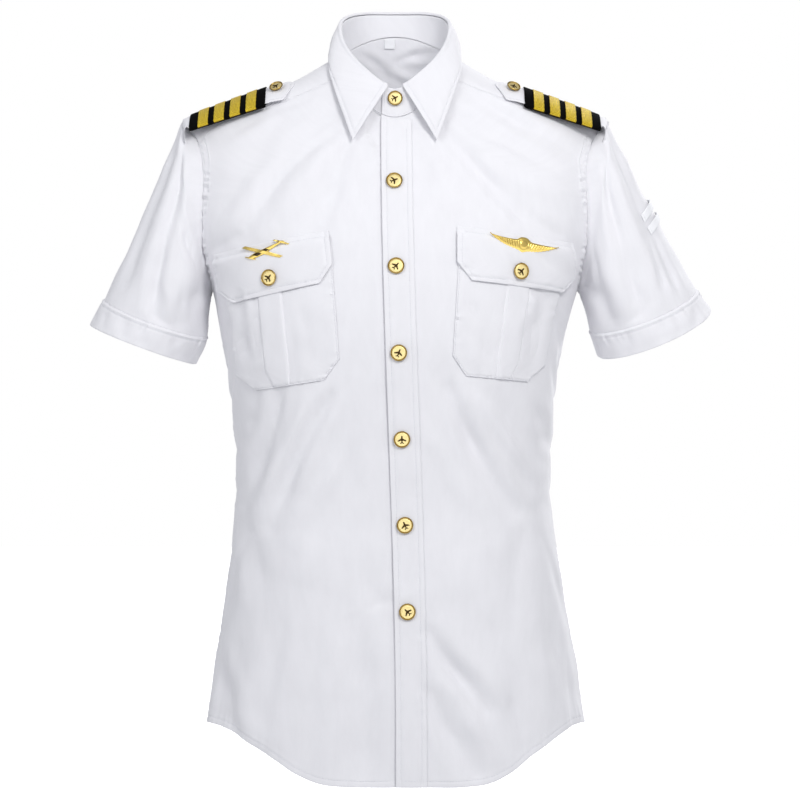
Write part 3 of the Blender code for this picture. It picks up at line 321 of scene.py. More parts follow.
def body(angle, z, lift=0.0):
    """A point of the body form moved out by its folds, its creases and by lift."""
    angle, z = np.broadcast_arrays(np.asarray(angle, float), np.asarray(z, float))
    point, normal = plain_body(angle, z), body_normal(angle, z)
    c = np.cos(angle)
    x_mm, y_mm, z_mm = point[..., 0] * 1000, point[..., 1] * 1000, z * 1000
    front = soft_folds(x_mm, z_mm, FRONT_FOLDS) + creases(x_mm, z_mm, FRONT_CREASES)
    back = soft_folds(x_mm, z_mm, BACK_FOLDS) + creases(x_mm, z_mm, BACK_CREASES)
    aside = creases(y_mm, z_mm, SIDE_CREASES) * (1 - ramp((np.abs(c) - 0.35) / 0.4))
    quiet = ramp((-0.05 - z) / 0.05)
    out = np.where(c > 0, front, back) * ramp(np.abs(c) / 0.3) + aside
    out = out + quiet * uneven(point, 0.075, 0.00045, 4)
    return point + normal * (out + lift)[..., None]


def angle_at(x, z):
    """The angle of the front point that has this x."""
    half, middle, _, _, wide, _ = section(z)
    share = np.clip(np.abs(x - middle) / half, 0, 1)
    return np.sign(x - middle) * np.arcsin(share ** (wide / 2))


def on_front(x, z, lift=0.0):
    """The point of the front that has this x and z, moved out by lift."""
    return body(angle_at(x, z), z, lift)


def neck(degrees):
    """Angle and level on the body form of the neck seam, at degrees round from the front."""
    turn = np.radians(degrees)
    c = np.cos(turn)
    z = NECK_SIDE + np.where(c > 0, NECK_FRONT - NECK_SIDE, NECK_BACK - NECK_SIDE) * c**2
    half, _, _, _, wide, _ = section(z)
    s = np.clip(NECK_HALF * np.abs(np.sin(turn)) / half, 0, 1) ** (wide / 2)
    angle = np.arctan2(s, np.sign(c) * np.sqrt(1 - s**2))
    return np.sign(np.sin(turn) + 1e-9) * angle, z


def armhole(step, side):
    """Angle and level of the armhole: an oval, step by step from the shoulder towards the front."""
    turn = 2 * np.pi * np.asarray(step) / ARM_STEPS
    z = ARM_MIDDLE + ARM_HALF * np.cos(turn)
    y = -np.where(np.sin(turn) > 0, ARM_FRONT, ARM_REAR) * np.sin(turn)
    _, _, front, back, _, deep = section(z)
    c = -np.sign(y) * (np.abs(y) / np.where(y < 0, front, back)) ** (deep / 2)
    return side * np.arctan2(np.sqrt(1 - c**2), c), z


def placket_edge(z):
    """x of the placket's visible edge at a level."""
    return PLACKET_TOP + (PLACKET_FOOT - PLACKET_TOP) * ramp((z - NECK_FRONT) / (HEM_SIDE - NECK_FRONT))


def hem_level(angle):
    """Level of the hem round the body, longest at the centre front and centre back."""
    turned = angle - HEM_LEAN * np.maximum(np.cos(angle), 0) ** 2
    from_centre = np.degrees(np.arccos(np.abs(np.cos(turned))))
    return HEM_SIDE - HEM_DROP * smooth(from_centre, HEM_ANGLE, HEM_SHARE)


def spread(length, pitch, edge=(0, 0.35, 0.9, 1.8, 3.0), first=True):
    """Shares from 0 to 1 along a length in metres: an even pitch, and closer steps, given in
    millimetres from the end, near the last end and where asked the first."""
    edge = np.array(edge) * 0.001 / length
    low, high = (edge if first else edge[:1]), 1 - edge[::-1]
    count = max(int(round((high[0] - low[-1]) * length / pitch)), 2)
    return np.concatenate([low[:-1], np.linspace(low[-1], high[0], count + 1), high[1:]])


def edge_ways(points):
    """Distance of every grid point from the grid's first row, last row, first column and last column."""
    down = np.cumsum(np.linalg.norm(np.diff(points, axis=0, prepend=points[:1]), axis=-1), axis=0)
    over = np.cumsum(np.linalg.norm(np.diff(points, axis=1, prepend=points[:, :1]), axis=-1), axis=1)
    return down, down[-1] - down, over, over[:, -1:] - over


def puckered(way, along, inset, seed, draw_in=0.00022, reach=0.009):
    """Relief beside a row of stitches: a thin groove under the thread and short ripples across it
    that come and go along the seam and die away from it."""
    draw = np.random.default_rng(seed)
    ripple = sum(np.sin(2 * np.pi * along / wave + draw.uniform(0, 6.3)) for wave in PUCKER_WAVES)
    come_and_go = 0.5 + 0.5 * np.sin(2 * np.pi * along / PUCKER_SPELL + draw.uniform(0, 6.3))
    groove = GROOVE_DEEP * bell((way - inset) / GROOVE_WIDE)
    return draw_in * ripple * come_and_go * bell((way - inset) / reach) * 0.5 - groove


def pulled(points, first_row=0, last_row=0, first_column=0, last_column=0):
    """The grid with its edges drawn back, each by the number of half seam gaps asked for."""
    out = points.copy()
    for count, edge, inner in ((first_row, 0, 2), (last_row, -1, -3)):
        out[edge] += unit(points[inner] - points[edge]) * count * SEAM_GAP / 2
    for count, edge, inner in ((first_column, 0, 2), (last_column, -1, -3)):
        out[:, edge] += unit(points[:, inner] - points[:, edge]) * count * SEAM_GAP / 2
    return out


def rim_of(number):
    """Point numbers once round the border of a grid of them."""
    return np.concatenate([number[0], number[1:, -1], number[-1, -2::-1], number[-2:0:-1, 0]])


def grid_faces(rows, columns, closed, start=0):
    """Quads of a grid of point numbers, its last column joined to its first where it is closed."""
    r, c = np.meshgrid(np.arange(rows - 1), np.arange(columns if closed else columns - 1), indexing="ij")
    n = (c + 1) % columns
    here, below = r * columns, (r + 1) * columns
    return np.stack([here + c, here + n, below + n, below + c], axis=-1).reshape(-1, 4) + start


def new_mesh(name, points, faces, uv=None, sharp=40):
    """A smooth-shaded mesh object at the origin, with a UV map in metres where uv is given."""
    mesh = bpy.data.meshes.new(name)
    points, faces = np.asarray(points, float).reshape(-1, 3), np.asarray(faces)
    mesh.vertices.add(len(points))
    mesh.vertices.foreach_set("co", points.ravel())
    mesh.loops.add(faces.size)
    mesh.loops.foreach_set("vertex_index", faces.ravel())
    mesh.polygons.add(len(faces))
    mesh.polygons.foreach_set("loop_start", np.arange(len(faces)) * faces.shape[1])
    if uv is not None:
        layer = mesh.uv_layers.new(name="cloth")
        layer.data.foreach_set("uv", np.asarray(uv, float).reshape(-1, 2)[faces.ravel()].ravel())
    mesh.update(calc_edges=True)
    mesh.validate()
    mesh.shade_smooth()
    mesh.set_sharp_from_angle(angle=np.radians(sharp))
    made = bpy.data.objects.new(name, mesh)
    bpy.context.scene.collection.objects.link(made)
    return made


def shell(name, outer, inner, finish, closed=False, soften=0.45):
    """A closed sheet between an outer and an inner grid, closed round as a tube where asked. Its free
    edges are rolled: near them both faces draw together by soften of the thickness."""
    rows, columns = outer.shape[:2]
    down, up, over, back_over = edge_ways(outer)
    to_edge = np.minimum.reduce((down, up) if closed else (down, up, over, back_over))
    thick = np.linalg.norm(outer - inner, axis=-1)
    roll = np.clip(1 - to_edge / np.maximum(thick, 1e-5), 0, 1)
    pinch = (soften * (1 - np.sqrt(1 - roll**2)))[..., None]
    outer, inner = outer + (inner - outer) * pinch, inner + (outer - inner) * pinch
    across = (np.roll(outer, -1, 1) - np.roll(outer, 1, 1)) if closed else np.gradient(outer, axis=1)
    facing = np.sum(np.cross(across, np.gradient(outer, axis=0)) * (outer - inner)) > 0
    count = rows * columns
    number = np.arange(count).reshape(rows, columns)
    faces = [grid_faces(rows, columns, closed), grid_faces(rows, columns, closed, count)[:, ::-1]]
    for loop in [number[0], number[-1, ::-1]] if closed else [rim_of(number)]:
        nxt = np.roll(loop, -1)
        faces.append(np.stack([loop, loop + count, nxt + count, nxt], axis=-1))
    faces = np.concatenate(faces)
    faces = faces if facing else faces[:, ::-1]
    uv = np.stack([over, down], axis=-1)
    made = new_mesh(name, np.concatenate([outer, inner]), faces, np.concatenate([uv, uv]))
    made.data.materials.append(finish)
    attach(made, "root")
    return made


def seam_line(points, way, inset, clear=(), keep=None):
    """The line on a grid where the distance way equals inset, read between neighbouring points. It
    stops where a distance in clear falls below the inset, and where keep is false."""
    by_row = np.abs(np.diff(way, axis=1)).mean() > np.abs(np.diff(way, axis=0)).mean()
    if not by_row:
        points, way = points.swapaxes(0, 1), way.T
        clear = [c.T for c in clear]
        keep = None if keep is None else keep.T
    if way[:, 0].mean() > way[:, -1].mean():
        points, way, clear = points[:, ::-1], way[:, ::-1], [c[:, ::-1] for c in clear]
        keep = None if keep is None else keep[:, ::-1]
    at = np.clip((way < inset).sum(axis=1), 1, way.shape[1] - 1)
    row = np.arange(len(way))
    share = ((inset - way[row, at - 1]) / np.maximum(way[row, at] - way[row, at - 1], 1e-9))[:, None]
    line = points[row, at - 1] * (1 - share) + points[row, at] * share
    held = np.ones(len(line), bool)
    for other in clear:
        held &= other[row, at] > inset
    if keep is not None:
        held &= keep[row, at]
    return line[held]


def stitch_lines(points, *lines):
    """Stitch lines along a grid's edges, numbered 0 first row, 1 last row, 2 first column, 3 last
    column. Each of lines gives an edge, the distance from it, the edges it stops short of and, if it
    follows only a part of its edge, where."""
    ways = edge_ways(points)
    return [
        seam_line(points, ways[edge], inset, [ways[k] for k in clear if k != edge], *keep)
        for edge, inset, clear, *keep in lines
    ]


def sew(name, lines, outwards):
    """Rows of lockstitch in thread: along each line a bead with two rings of four corners at every
    pitch, half sunk in the cloth. outwards gives the cloth's outward direction at points."""
    pitch, long, wide = STITCH_PITCH, STITCH_LONG, STITCH_WIDE
    places, ways = [], []
    for line in lines:
        if len(line) < 3:
            continue
        run = np.append(0, np.cumsum(np.linalg.norm(np.diff(line, axis=0), axis=-1)))
        at = np.arange(pitch, run[-1] - pitch, pitch)
        if not len(at):
            continue
        middle = np.stack([np.interp(at, run, line[:, k]) for k in range(3)], axis=-1)
        ahead = np.stack([np.interp(at + 0.0005, run, line[:, k]) for k in range(3)], axis=-1)
        places.append(middle)
        ways.append(unit(ahead - middle))
    place, way = np.concatenate(places), np.concatenate(ways)
    out = outwards(place)
    out = unit(out - np.sum(out * way, axis=-1, keepdims=True) * way)
    side = np.cross(way, out)
    turn = np.pi / 2 * np.arange(4)
    ring = np.cos(turn)[:, None, None] * out * STITCH_FLAT + np.sin(turn)[:, None, None] * side
    ends = place + way * long / 2, place - way * long / 2
    lifted = place + out * wide * STITCH_OUT
    rings = [lifted + way * long * s + ring * wide / 2 for s in (0.32, -0.32)]
    points = np.stack([ends[0], *rings[0], *rings[1], ends[1]], axis=1)
    quads = [[1 + k, 1 + (k + 1) % 4, 5 + (k + 1) % 4, 5 + k] for k in range(4)]
    tips = [[0, 1 + (k + 1) % 4, 1 + k, 1 + k] for k in range(4)]
    tips += [[9, 5 + k, 5 + (k + 1) % 4, 5 + (k + 1) % 4] for k in range(4)]
    triangles = [[q[0], q[1], q[2]] for q in quads] + [[q[0], q[2], q[3]] for q in quads]
    triangles += [t[:3] for t in tips]
    faces = (np.array(triangles)[None] + 10 * np.arange(len(place))[:, None, None]).reshape(-1, 3)
    made = new_mesh(name, points, faces, sharp=180)
    made.data.materials.append(thread)
    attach(made, "root")


def outward(scale, shift=(0, 0, 0), mirrored=(0, 0, 0)):
    """Gives the rough outward direction at points: their x, y, z times scale, plus shift, plus
    mirrored on the left side and minus it on the right."""
    scale, shift, mirrored = (np.array(part, float) for part in (scale, shift, mirrored))
    return lambda place: unit(place * scale + shift + np.sign(place[..., :1]) * mirrored)


def shader_of(name, colour, roughness, metallic=0.0):
    """A new material: its node tree and its Principled shader with the given constants."""
    made = bpy.data.materials.new(name)
    made.use_nodes = True
    shader = made.node_tree.nodes["Principled BSDF"]
    shader.inputs["Base Color"].default_value = (*colour, 1)
    shader.inputs["Roughness"].default_value = roughness
    shader.inputs["Metallic"].default_value = metallic
    return made, made.node_tree, shader


def add_node(tree, kind, values=None, **settings):
    """A node with its settings and the values of its named sockets."""
    node = tree.nodes.new(kind)
    for key, value in settings.items():
        setattr(node, key, value)
    for key, value in (values or {}).items():
        node.inputs[key].default_value = value
    return node


def raised(tree, shader, height, strength, distance, over=None):
    """Raises a shader's surface by distance where height is 1, on top of the relief over."""
    bump = add_node(tree, "ShaderNodeBump", {"Strength": strength, "Distance": distance})
    tree.links.new(height, bump.inputs["Height"])
    if over is not None:
        tree.links.new(over.outputs["Normal"], bump.inputs["Normal"])
    tree.links.new(bump.outputs["Normal"], shader.inputs["Normal"])
    return bump


def toned(tree, shader, height, shares, colours):
    """Base colour that goes from one colour to another between two heights."""
    tone = add_node(tree, "ShaderNodeValToRGB")
    for end, share, colour in zip(tone.color_ramp.elements, shares, colours):
        end.position, end.color = share, (*colour, 1)
    tree.links.new(height, tone.inputs["Fac"])
    tree.links.new(tone.outputs["Color"], shader.inputs["Base Color"])


# Distance in metres from band to band of the wave texture at scale 1
WAVE_PERIOD = 0.314


def crossed_threads(tree, pitches, distortion, detail, detail_scale):
    """Two crossed sets of threads on the cloth's own map, their pitches in metres, multiplied. Gives
    the sockets of the map and of the height."""
    place = add_node(tree, "ShaderNodeUVMap", uv_map="cloth").outputs["UV"]
    crossed = add_node(tree, "ShaderNodeMath", operation="MULTIPLY")
    values = {"Distortion": distortion, "Detail": detail, "Detail Scale": detail_scale}
    for number, pitch in enumerate(pitches):
        values["Scale"] = WAVE_PERIOD / pitch
        wave = add_node(tree, "ShaderNodeTexWave", values, bands_direction="XY"[number])
        tree.links.new(place, wave.inputs["Vector"])
        tree.links.new(wave.outputs["Fac"], crossed.inputs[number])
    return place, crossed.outputs["Value"]


def woven(name, colour, roughness, pitch, weave, slub, tint):
    """Plain weave of a pitch in metres: threads raised by weave, slubs that come and go raised by slub,
    and a faint change of tone from the same slubs."""
    made, tree, shader = shader_of(name, colour, roughness)
    place, threads = crossed_threads(tree, (pitch, pitch), 1.2, 1.0, 0.6)
    slubs = add_node(tree, "ShaderNodeTexNoise", {"Scale": 90.0, "Detail": 4.0, "Roughness": 0.6})
    stretch = add_node(tree, "ShaderNodeMapping", {"Scale": (1.0, 0.35, 1.0)})
    tree.links.new(place, stretch.inputs["Vector"])
    tree.links.new(stretch.outputs["Vector"], slubs.inputs["Vector"])
    fine = raised(tree, shader, threads, 0.5, weave)
    raised(tree, shader, slubs.outputs["Fac"], 0.6, slub, fine)
    dark, bright = [c * (1 - tint) for c in colour], [min(c * (1 + tint * 0.4), 1) for c in colour]
    toned(tree, shader, slubs.outputs["Fac"], (0.35, 0.65), (dark, bright))
    shader.inputs["Sheen Weight"].default_value = 0.25
    shader.inputs["Sheen Roughness"].default_value = 0.5
    return made


cotton = woven("shirt cotton", COTTON_COLOUR, 0.82, 0.00055, 0.00005, 0.00022, 0.02)
thread, tree, shader = shader_of("sewing thread", (0.74, 0.745, 0.79), 0.55)
twist = add_node(tree, "ShaderNodeTexWave", {"Scale": 500.0, "Distortion": 2.0}, bands_direction="DIAGONAL")
where = add_node(tree, "ShaderNodeTexCoord")
tree.links.new(where.outputs["Object"], twist.inputs["Vector"])
raised(tree, shader, twist.outputs["Fac"], 0.5, 0.0001)


def body_outwards(place):
    """Rough outward direction of the body at points: away from the upright middle line."""
    out = place * np.array([0.35, 1.0, 0.0])
    return unit(out + np.array([0, 0, 0.25]) * ramp((place[..., 2:3] + 0.12) / 0.1))


# The armhole's step under the arm, and a front's rows where armhole, neck ring and yoke seam begin
UNDERARM, ARM_ROW, NECK_ROW, TOP_ROW = ARM_STEPS // 2, 15, 21, 26


def front_ends(r, side):
    """Ends of a front's rows, r from 0 at the hem to TOP_ROW at the yoke. Inner: the placket's edge up
    to NECK_ROW, then the neck ring. Outer: the side seam up to ARM_ROW, then the armhole."""
    neck_from = NECK_ENDS[0] if side > 0 else NECK_ENDS[1]
    z_top = neck(neck_from)[1]
    z_hem = HEM_SIDE - HEM_DROP
    z_in = z_hem + (z_top - z_hem) * np.clip(r / NECK_ROW, 0, 1)
    angle_in = angle_at(placket_edge(z_in) + (LAP_WIDE if side < 0 else 0), z_in)
    round_neck = np.clip((r - NECK_ROW) / (TOP_ROW - NECK_ROW), 0, 1)
    ring = neck_from + (side * YOKE_AT_NECK - neck_from) * round_neck
    angle_ring, z_ring = neck(ring)
    if side < 0:
        z_in = z_in - LAP_DROP * ramp(r / 22)
        z_ring = z_ring - LAP_DROP * ramp((ring + 40) / 25)
    angle_arm, z_arm = armhole(UNDERARM - np.clip(r - ARM_ROW, 0, TOP_ROW - ARM_ROW), side)
    below = r < ARM_ROW
    z_out = np.where(below, HEM_SIDE + (armhole(UNDERARM, side)[1] - HEM_SIDE) * r / ARM_ROW, z_arm)
    inner = np.where(r < NECK_ROW, angle_in, angle_ring), np.where(r < NECK_ROW, z_in, z_ring)
    return inner, (np.where(below, side * np.pi / 2, angle_arm), z_out)


def seam_relief(points, ways, by_arm, seed):
    """Height of a body panel's sewing: hem along the first row, yoke seam along the last, and down the
    given columns a felled armhole, where by_arm is 1, and a plain side seam, where it is 0. ways holds
    the distances from the hem, from the yoke seam and from the columns."""
    down, up, sides = ways
    z, run = points[..., 2], points[0]
    run = np.cumsum(np.linalg.norm(np.diff(run, axis=0, prepend=run[:1]), axis=-1))[None, :]
    height = HEM_PROUD * (1 - ramp((down - HEM_WIDE) / 0.0012))
    height += puckered(down, run, HEM_WIDE - TURNING_STITCH, seed, 0.0005, 0.010)
    height += puckered(up, run, SEAM_STITCH, seed + 1, 0.00015, 0.005)
    for number, way in enumerate(sides, seed):
        height += by_arm * FELL_PROUD * (1 - ramp((way - FELL_WIDE) / 0.0014))
        height += by_arm * puckered(way, z, FELL_WIDE * 0.6, number + 2, 0.0017, 0.0045)
        height -= by_arm * 2 * GROOVE_DEEP * bell((way - FELL_WIDE + TURNING_STITCH) / GROOVE_WIDE)
        height += by_arm * puckered(way, z, SEAM_STITCH, number + 5, 0.0006, 0.004)
        height += (1 - by_arm) * puckered(way, z, SIDE_STITCH, number + 8, 0.0004, 0.013)
    return height


# Grid rows from the hem to the yoke, closer at both and beside the armhole
rows = np.concatenate(
    [
        [0, 0.012, 0.03, 0.06, 0.10, 0.15, 0.19, 0.225, 0.26],
        np.arange(0.32, 14.4, 0.125),
        np.arange(14.45, 25.75, 0.08),
        [25.80, 25.88, 25.94, 25.975, 26],
    ]
)
columns = spread(0.26, 0.0026, FELLED_EDGE)
HEM_FADE = np.clip(1 - rows / ARM_ROW, 0, 1) ** 1.5
# Where the right front starts to sink under the placket, the width it sinks over, how far up it does
LAP_START, LAP_SLOPE, LAP_ABOVE = 0.0048, 0.0034, 0.030
front_stitches = []
for side, hand in ((1, "left"), (-1, "right")):
    (angle_in, z_in), (angle_out, z_out) = front_ends(rows, side)
    angle = angle_in[:, None] + (angle_out - angle_in)[:, None] * columns
    level = z_in[:, None] + (z_out - z_in)[:, None] * columns
    level = level + (hem_level(angle) - level[:1]) * HEM_FADE[:, None]
    x = plain_body(angle, level)[..., 0]
    lift = np.zeros(x.shape)
    if side < 0:
        start = LAP_START + LAP_AT_NECK * ramp((level - NECK_FRONT) / 0.020 + 1.8)
        sunk = ramp((x - placket_edge(level) + start) / LAP_SLOPE)
        lift = -LAP_SINK * sunk * (level < NECK_FRONT + LAP_ABOVE)
    flat = body(angle, level, lift)
    down, up, _, back_over = edge_ways(flat)
    by_arm = np.broadcast_to(ramp((rows - ARM_ROW + 0.8) / 1.2)[:, None], down.shape)
    relief = seam_relief(flat, (down, up, (back_over,)), by_arm, 20 + side)
    normal = body_normal(angle, level)
    outer = pulled(flat + normal * relief[..., None], last_row=1, last_column=1)
    panel = shell("cloth_front_" + hand, outer, outer - normal * WALL, cotton)
    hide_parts("front_" + hand)
    arm_rows = np.broadcast_to((rows > ARM_ROW)[:, None], down.shape)
    visible = np.ones(down.shape, bool) if side > 0 else x < placket_edge(level) - 0.003
    front_stitches += stitch_lines(
        outer,
        (0, HEM_WIDE - TURNING_STITCH, (3,), visible),
        (3, FELL_WIDE - TURNING_STITCH, (1,), arm_rows),
        (3, SIDE_STITCH, (0,), ~arm_rows),
        (1, SEAM_STITCH, (3,)),
    )
sew("sewing_fronts", front_stitches, body_outwards)


# ---- Placket --------------------------------------------------------------------------------------
# A strip of the same cotton with a stiffening inside, 30 mm wide from the neck seam to the hem, laid
# on the left front's edge and stitched down 5 mm from both of its own edges.
# Height of whatever is laid on the fronts above them
LIFT = 0.00045
PLACKET_STITCH, PLACKET_FOOT_STITCH = 0.0050, 0.0062
# The buttons' levels, and their way in from the placket's visible edge
BUTTON_LEVELS, BUTTON_IN = np.linspace(-0.1258, -0.5423, 6), 0.0125
top, foot = NECK_FRONT - 0.0022, HEM_SIDE - HEM_DROP
z, across = np.meshgrid(
    foot + (top - foot) * spread(top - foot, 0.0030),
    spread(PLACKET_WIDE, 0.0016, STITCHED_EDGE) * PLACKET_WIDE,
    indexing="ij",
)
x = placket_edge(z) + across
drag = sum(bell((z - level) / 0.006) * bell((across - BUTTON_IN) / 0.007) for level in BUTTON_LEVELS)
relief = puckered(across, z, PLACKET_STITCH, 61, 0.0003, 0.006)
relief += puckered(PLACKET_WIDE - across, z, PLACKET_STITCH, 62, 0.0003, 0.006)
inside = np.minimum(across, PLACKET_WIDE - across) - PLACKET_STITCH
relief += 0.00025 * ramp(inside / 0.004) - 0.0003 * drag
outer = on_front(x, z, LIFT + WALL + relief)
placket = shell("placket_strip", outer, on_front(x, z, LIFT), cotton)
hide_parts("placket")
lines = [(k, PLACKET_STITCH, (0, 1)) for k in (2, 3)] + [(0, PLACKET_FOOT_STITCH, (2, 3))]
sew("sewing_placket", stitch_lines(outer, *lines), body_outwards)


# ---- Back -----------------------------------------------------------------------------------------
# One cotton panel from side seam to side seam, sewn to the yoke's straight back edge, felled into the
# sleeves at the armholes, with the same narrow hem along its tail.
# Level of the back yoke seam in the middle, and the row where the armhole begins
BACK_YOKE, BACK_ARM_ROW = -0.080, 16
columns = spread(0.52, 0.0036, FELLED_EDGE)
angle_arm, z_arm = armhole(np.clip(rows - BACK_ARM_ROW, 0, TOP_ROW - BACK_ARM_ROW) - UNDERARM, 1)
side_level = HEM_SIDE + (armhole(UNDERARM, 1)[1] - HEM_SIDE) * rows / BACK_ARM_ROW
edge_angle = np.where(rows < BACK_ARM_ROW, np.pi / 2, angle_arm)
edge_level = np.where(rows < BACK_ARM_ROW, side_level, z_arm)
middle_level = HEM_SIDE - HEM_DROP + (BACK_YOKE - HEM_SIDE + HEM_DROP) * rows / TOP_ROW
angle = edge_angle[:, None] + (2 * np.pi - 2 * edge_angle)[:, None] * columns
arch = 1 - (2 * columns - 1) ** 2
level = edge_level[:, None] + (middle_level - edge_level)[:, None] * arch
level = level + (hem_level(angle[0]) - level[:1]) * HEM_FADE[:, None]
flat = body(angle, level)
down, up, over, back_over = edge_ways(flat)
by_arm = np.broadcast_to(ramp((rows - BACK_ARM_ROW + 0.8) / 1.2)[:, None], down.shape)
relief = seam_relief(flat, (down, up, (over, back_over)), by_arm, 40)
normal = body_normal(angle, level)
outer = pulled(flat + normal * relief[..., None], last_row=1, first_column=1, last_column=1)
back = shell("cloth_back", outer, outer - normal * WALL, cotton)
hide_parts("back")
arm_rows = np.broadcast_to((rows > BACK_ARM_ROW)[:, None], down.shape)
lines = [(0, HEM_WIDE - TURNING_STITCH, (2, 3))]
lines += [(k, FELL_WIDE - TURNING_STITCH, (1,), arm_rows) for k in (2, 3)]
sew("sewing_back", stitch_lines(outer, *lines), body_outwards)


# ---- Yoke -----------------------------------------------------------------------------------------
# Two layers of the cotton over both shoulders, from the front yoke seams over to a straight seam
# across the back. Its neck edge is caught in the collar stand, its ends in the sleeve seams.
# The yoke's steps round, the step of its corner at the back, and the armhole's step at its front
YOKE_STEPS, YOKE_CORNER, YOKE_FRONT = 30, 7, 3
YOKE_SECOND_STITCH = 0.0062


def yoke_form(s, t):
    """Angle, level on the body form of the yoke. s runs 0 to YOKE_STEPS from the left front seam round
    the back to the right one, t from 0 at the armhole and back seam to 1 at the neck."""
    left_angle, left_z = armhole(YOKE_FRONT - np.clip(s, 0, YOKE_CORNER), 1)
    right_angle, right_z = armhole(YOKE_FRONT - np.clip(YOKE_STEPS - s, 0, YOKE_CORNER), 1)
    share = np.clip((s - YOKE_CORNER) / (YOKE_STEPS - 2 * YOKE_CORNER), 0, 1)
    end_angle, end_z = armhole(YOKE_FRONT - YOKE_CORNER, 1)
    back_angle = end_angle + (2 * np.pi - 2 * end_angle) * share
    back_z = end_z + (BACK_YOKE - end_z) * (1 - (2 * share - 1) ** 2)
    parts = [s < YOKE_CORNER, s > YOKE_STEPS - YOKE_CORNER]
    angle_out = np.select(parts, [left_angle, 2 * np.pi - right_angle], back_angle)
    z_out = np.select(parts, [left_z, right_z], back_z)
    angle_in, z_in = neck(YOKE_AT_NECK + (360 - 2 * YOKE_AT_NECK) * s / YOKE_STEPS)
    angle_in = np.where(angle_in < 0, angle_in + 2 * np.pi, angle_in)
    return angle_out + (angle_in - angle_out) * t, z_out + (z_in - z_out) * t


s, t = YOKE_STEPS * spread(0.75, 0.0040, (0, 0.5, 1.2, 2.0, 3.2, 5.0)), spread(0.12, 0.0024)[:, None]
angle, level = yoke_form(s, t)
flat = body(angle, level)
ways = edge_ways(flat)
relief = puckered(ways[0], ways[2], SEAM_STITCH, 71, 0.0003, 0.006)
relief += puckered(ways[0], ways[2], YOKE_SECOND_STITCH, 72, 0.0003, 0.007)
for edge, seed in ((2, 73), (3, 74)):
    relief += puckered(ways[edge], ways[0], SEAM_STITCH, seed, 0.0002, 0.005)
normal = body_normal(angle, level)
outer = pulled(flat + normal * relief[..., None], first_row=1, first_column=4, last_column=4)
yoke = shell("cloth_yoke", outer, outer - normal * WALL, cotton)
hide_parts("yoke")
lines = [(0, SEAM_STITCH, (2, 3)), (2, SEAM_STITCH, (0, 1)), (3, SEAM_STITCH, (0, 1))]
sew("sewing_yoke", stitch_lines(outer, *lines), outward((0.2, 1, 0), (0, 0.01, 0.06)))


# ---- Sleeves --------------------------------------------------------------------------------------
# One cotton piece each, set into the armhole and closed by a seam under the arm. They stand out from
# the body in long soft folds that run from the cap down to the cuff.
SLEEVES = {
    -1: (
        (0.2140, -0.059, 0.1838, -0.2350, 0.0500, 0.000),
        (0.2205, -0.082, 0.1850, -0.2420, 0.0540, 0.001),
        (0.2310, -0.108, 0.1860, -0.2490, 0.0575, 0.002),
        (0.2450, -0.138, 0.1868, -0.2550, 0.0600, 0.004),
        (0.2590, -0.171, 0.1870, -0.2610, 0.0615, 0.006),
        (0.2700, -0.196, 0.1870, -0.2660, 0.0605, 0.007),
        (0.2810, -0.218, 0.1870, -0.2700, 0.0590, 0.008),
        (0.2900, -0.237, 0.1872, -0.2740, 0.0575, 0.008),
    ),
    1: (
        (0.2125, -0.057, 0.1850, -0.2340, 0.0500, 0.001),
        (0.2190, -0.076, 0.1870, -0.2400, 0.0540, 0.002),
        (0.2305, -0.098, 0.1890, -0.2460, 0.0575, 0.004),
        (0.2460, -0.129, 0.1905, -0.2510, 0.0600, 0.006),
        (0.2625, -0.160, 0.1920, -0.2560, 0.0610, 0.009),
        (0.2770, -0.187, 0.1930, -0.2600, 0.0605, 0.011),
        (0.2895, -0.209, 0.1940, -0.2640, 0.0590, 0.012),
        (0.3000, -0.228, 0.1950, -0.2685, 0.0575, 0.013),
    ),
}
SLEEVE_FORWARD = 0.006
# From angle, row, to angle, row, width in degrees, height in millimetres
SLEEVE_FOLDS = (
    (28, 1.5, 44, 7.5, 9, -2.6),
    (62, 2.0, 84, 7.5, 10, -3.2),
    (46, 1.0, 62, 6.0, 8, 1.8),
    (112, 2.5, 104, 7.0, 12, 2.2),
    (138, 1.5, 128, 6.5, 10, -2.0),
    (-34, 1.5, -52, 7.0, 10, -2.6),
    (-78, 2.0, -92, 7.5, 12, -2.8),
    (-120, 2.0, -112, 6.5, 12, 2.0),
)
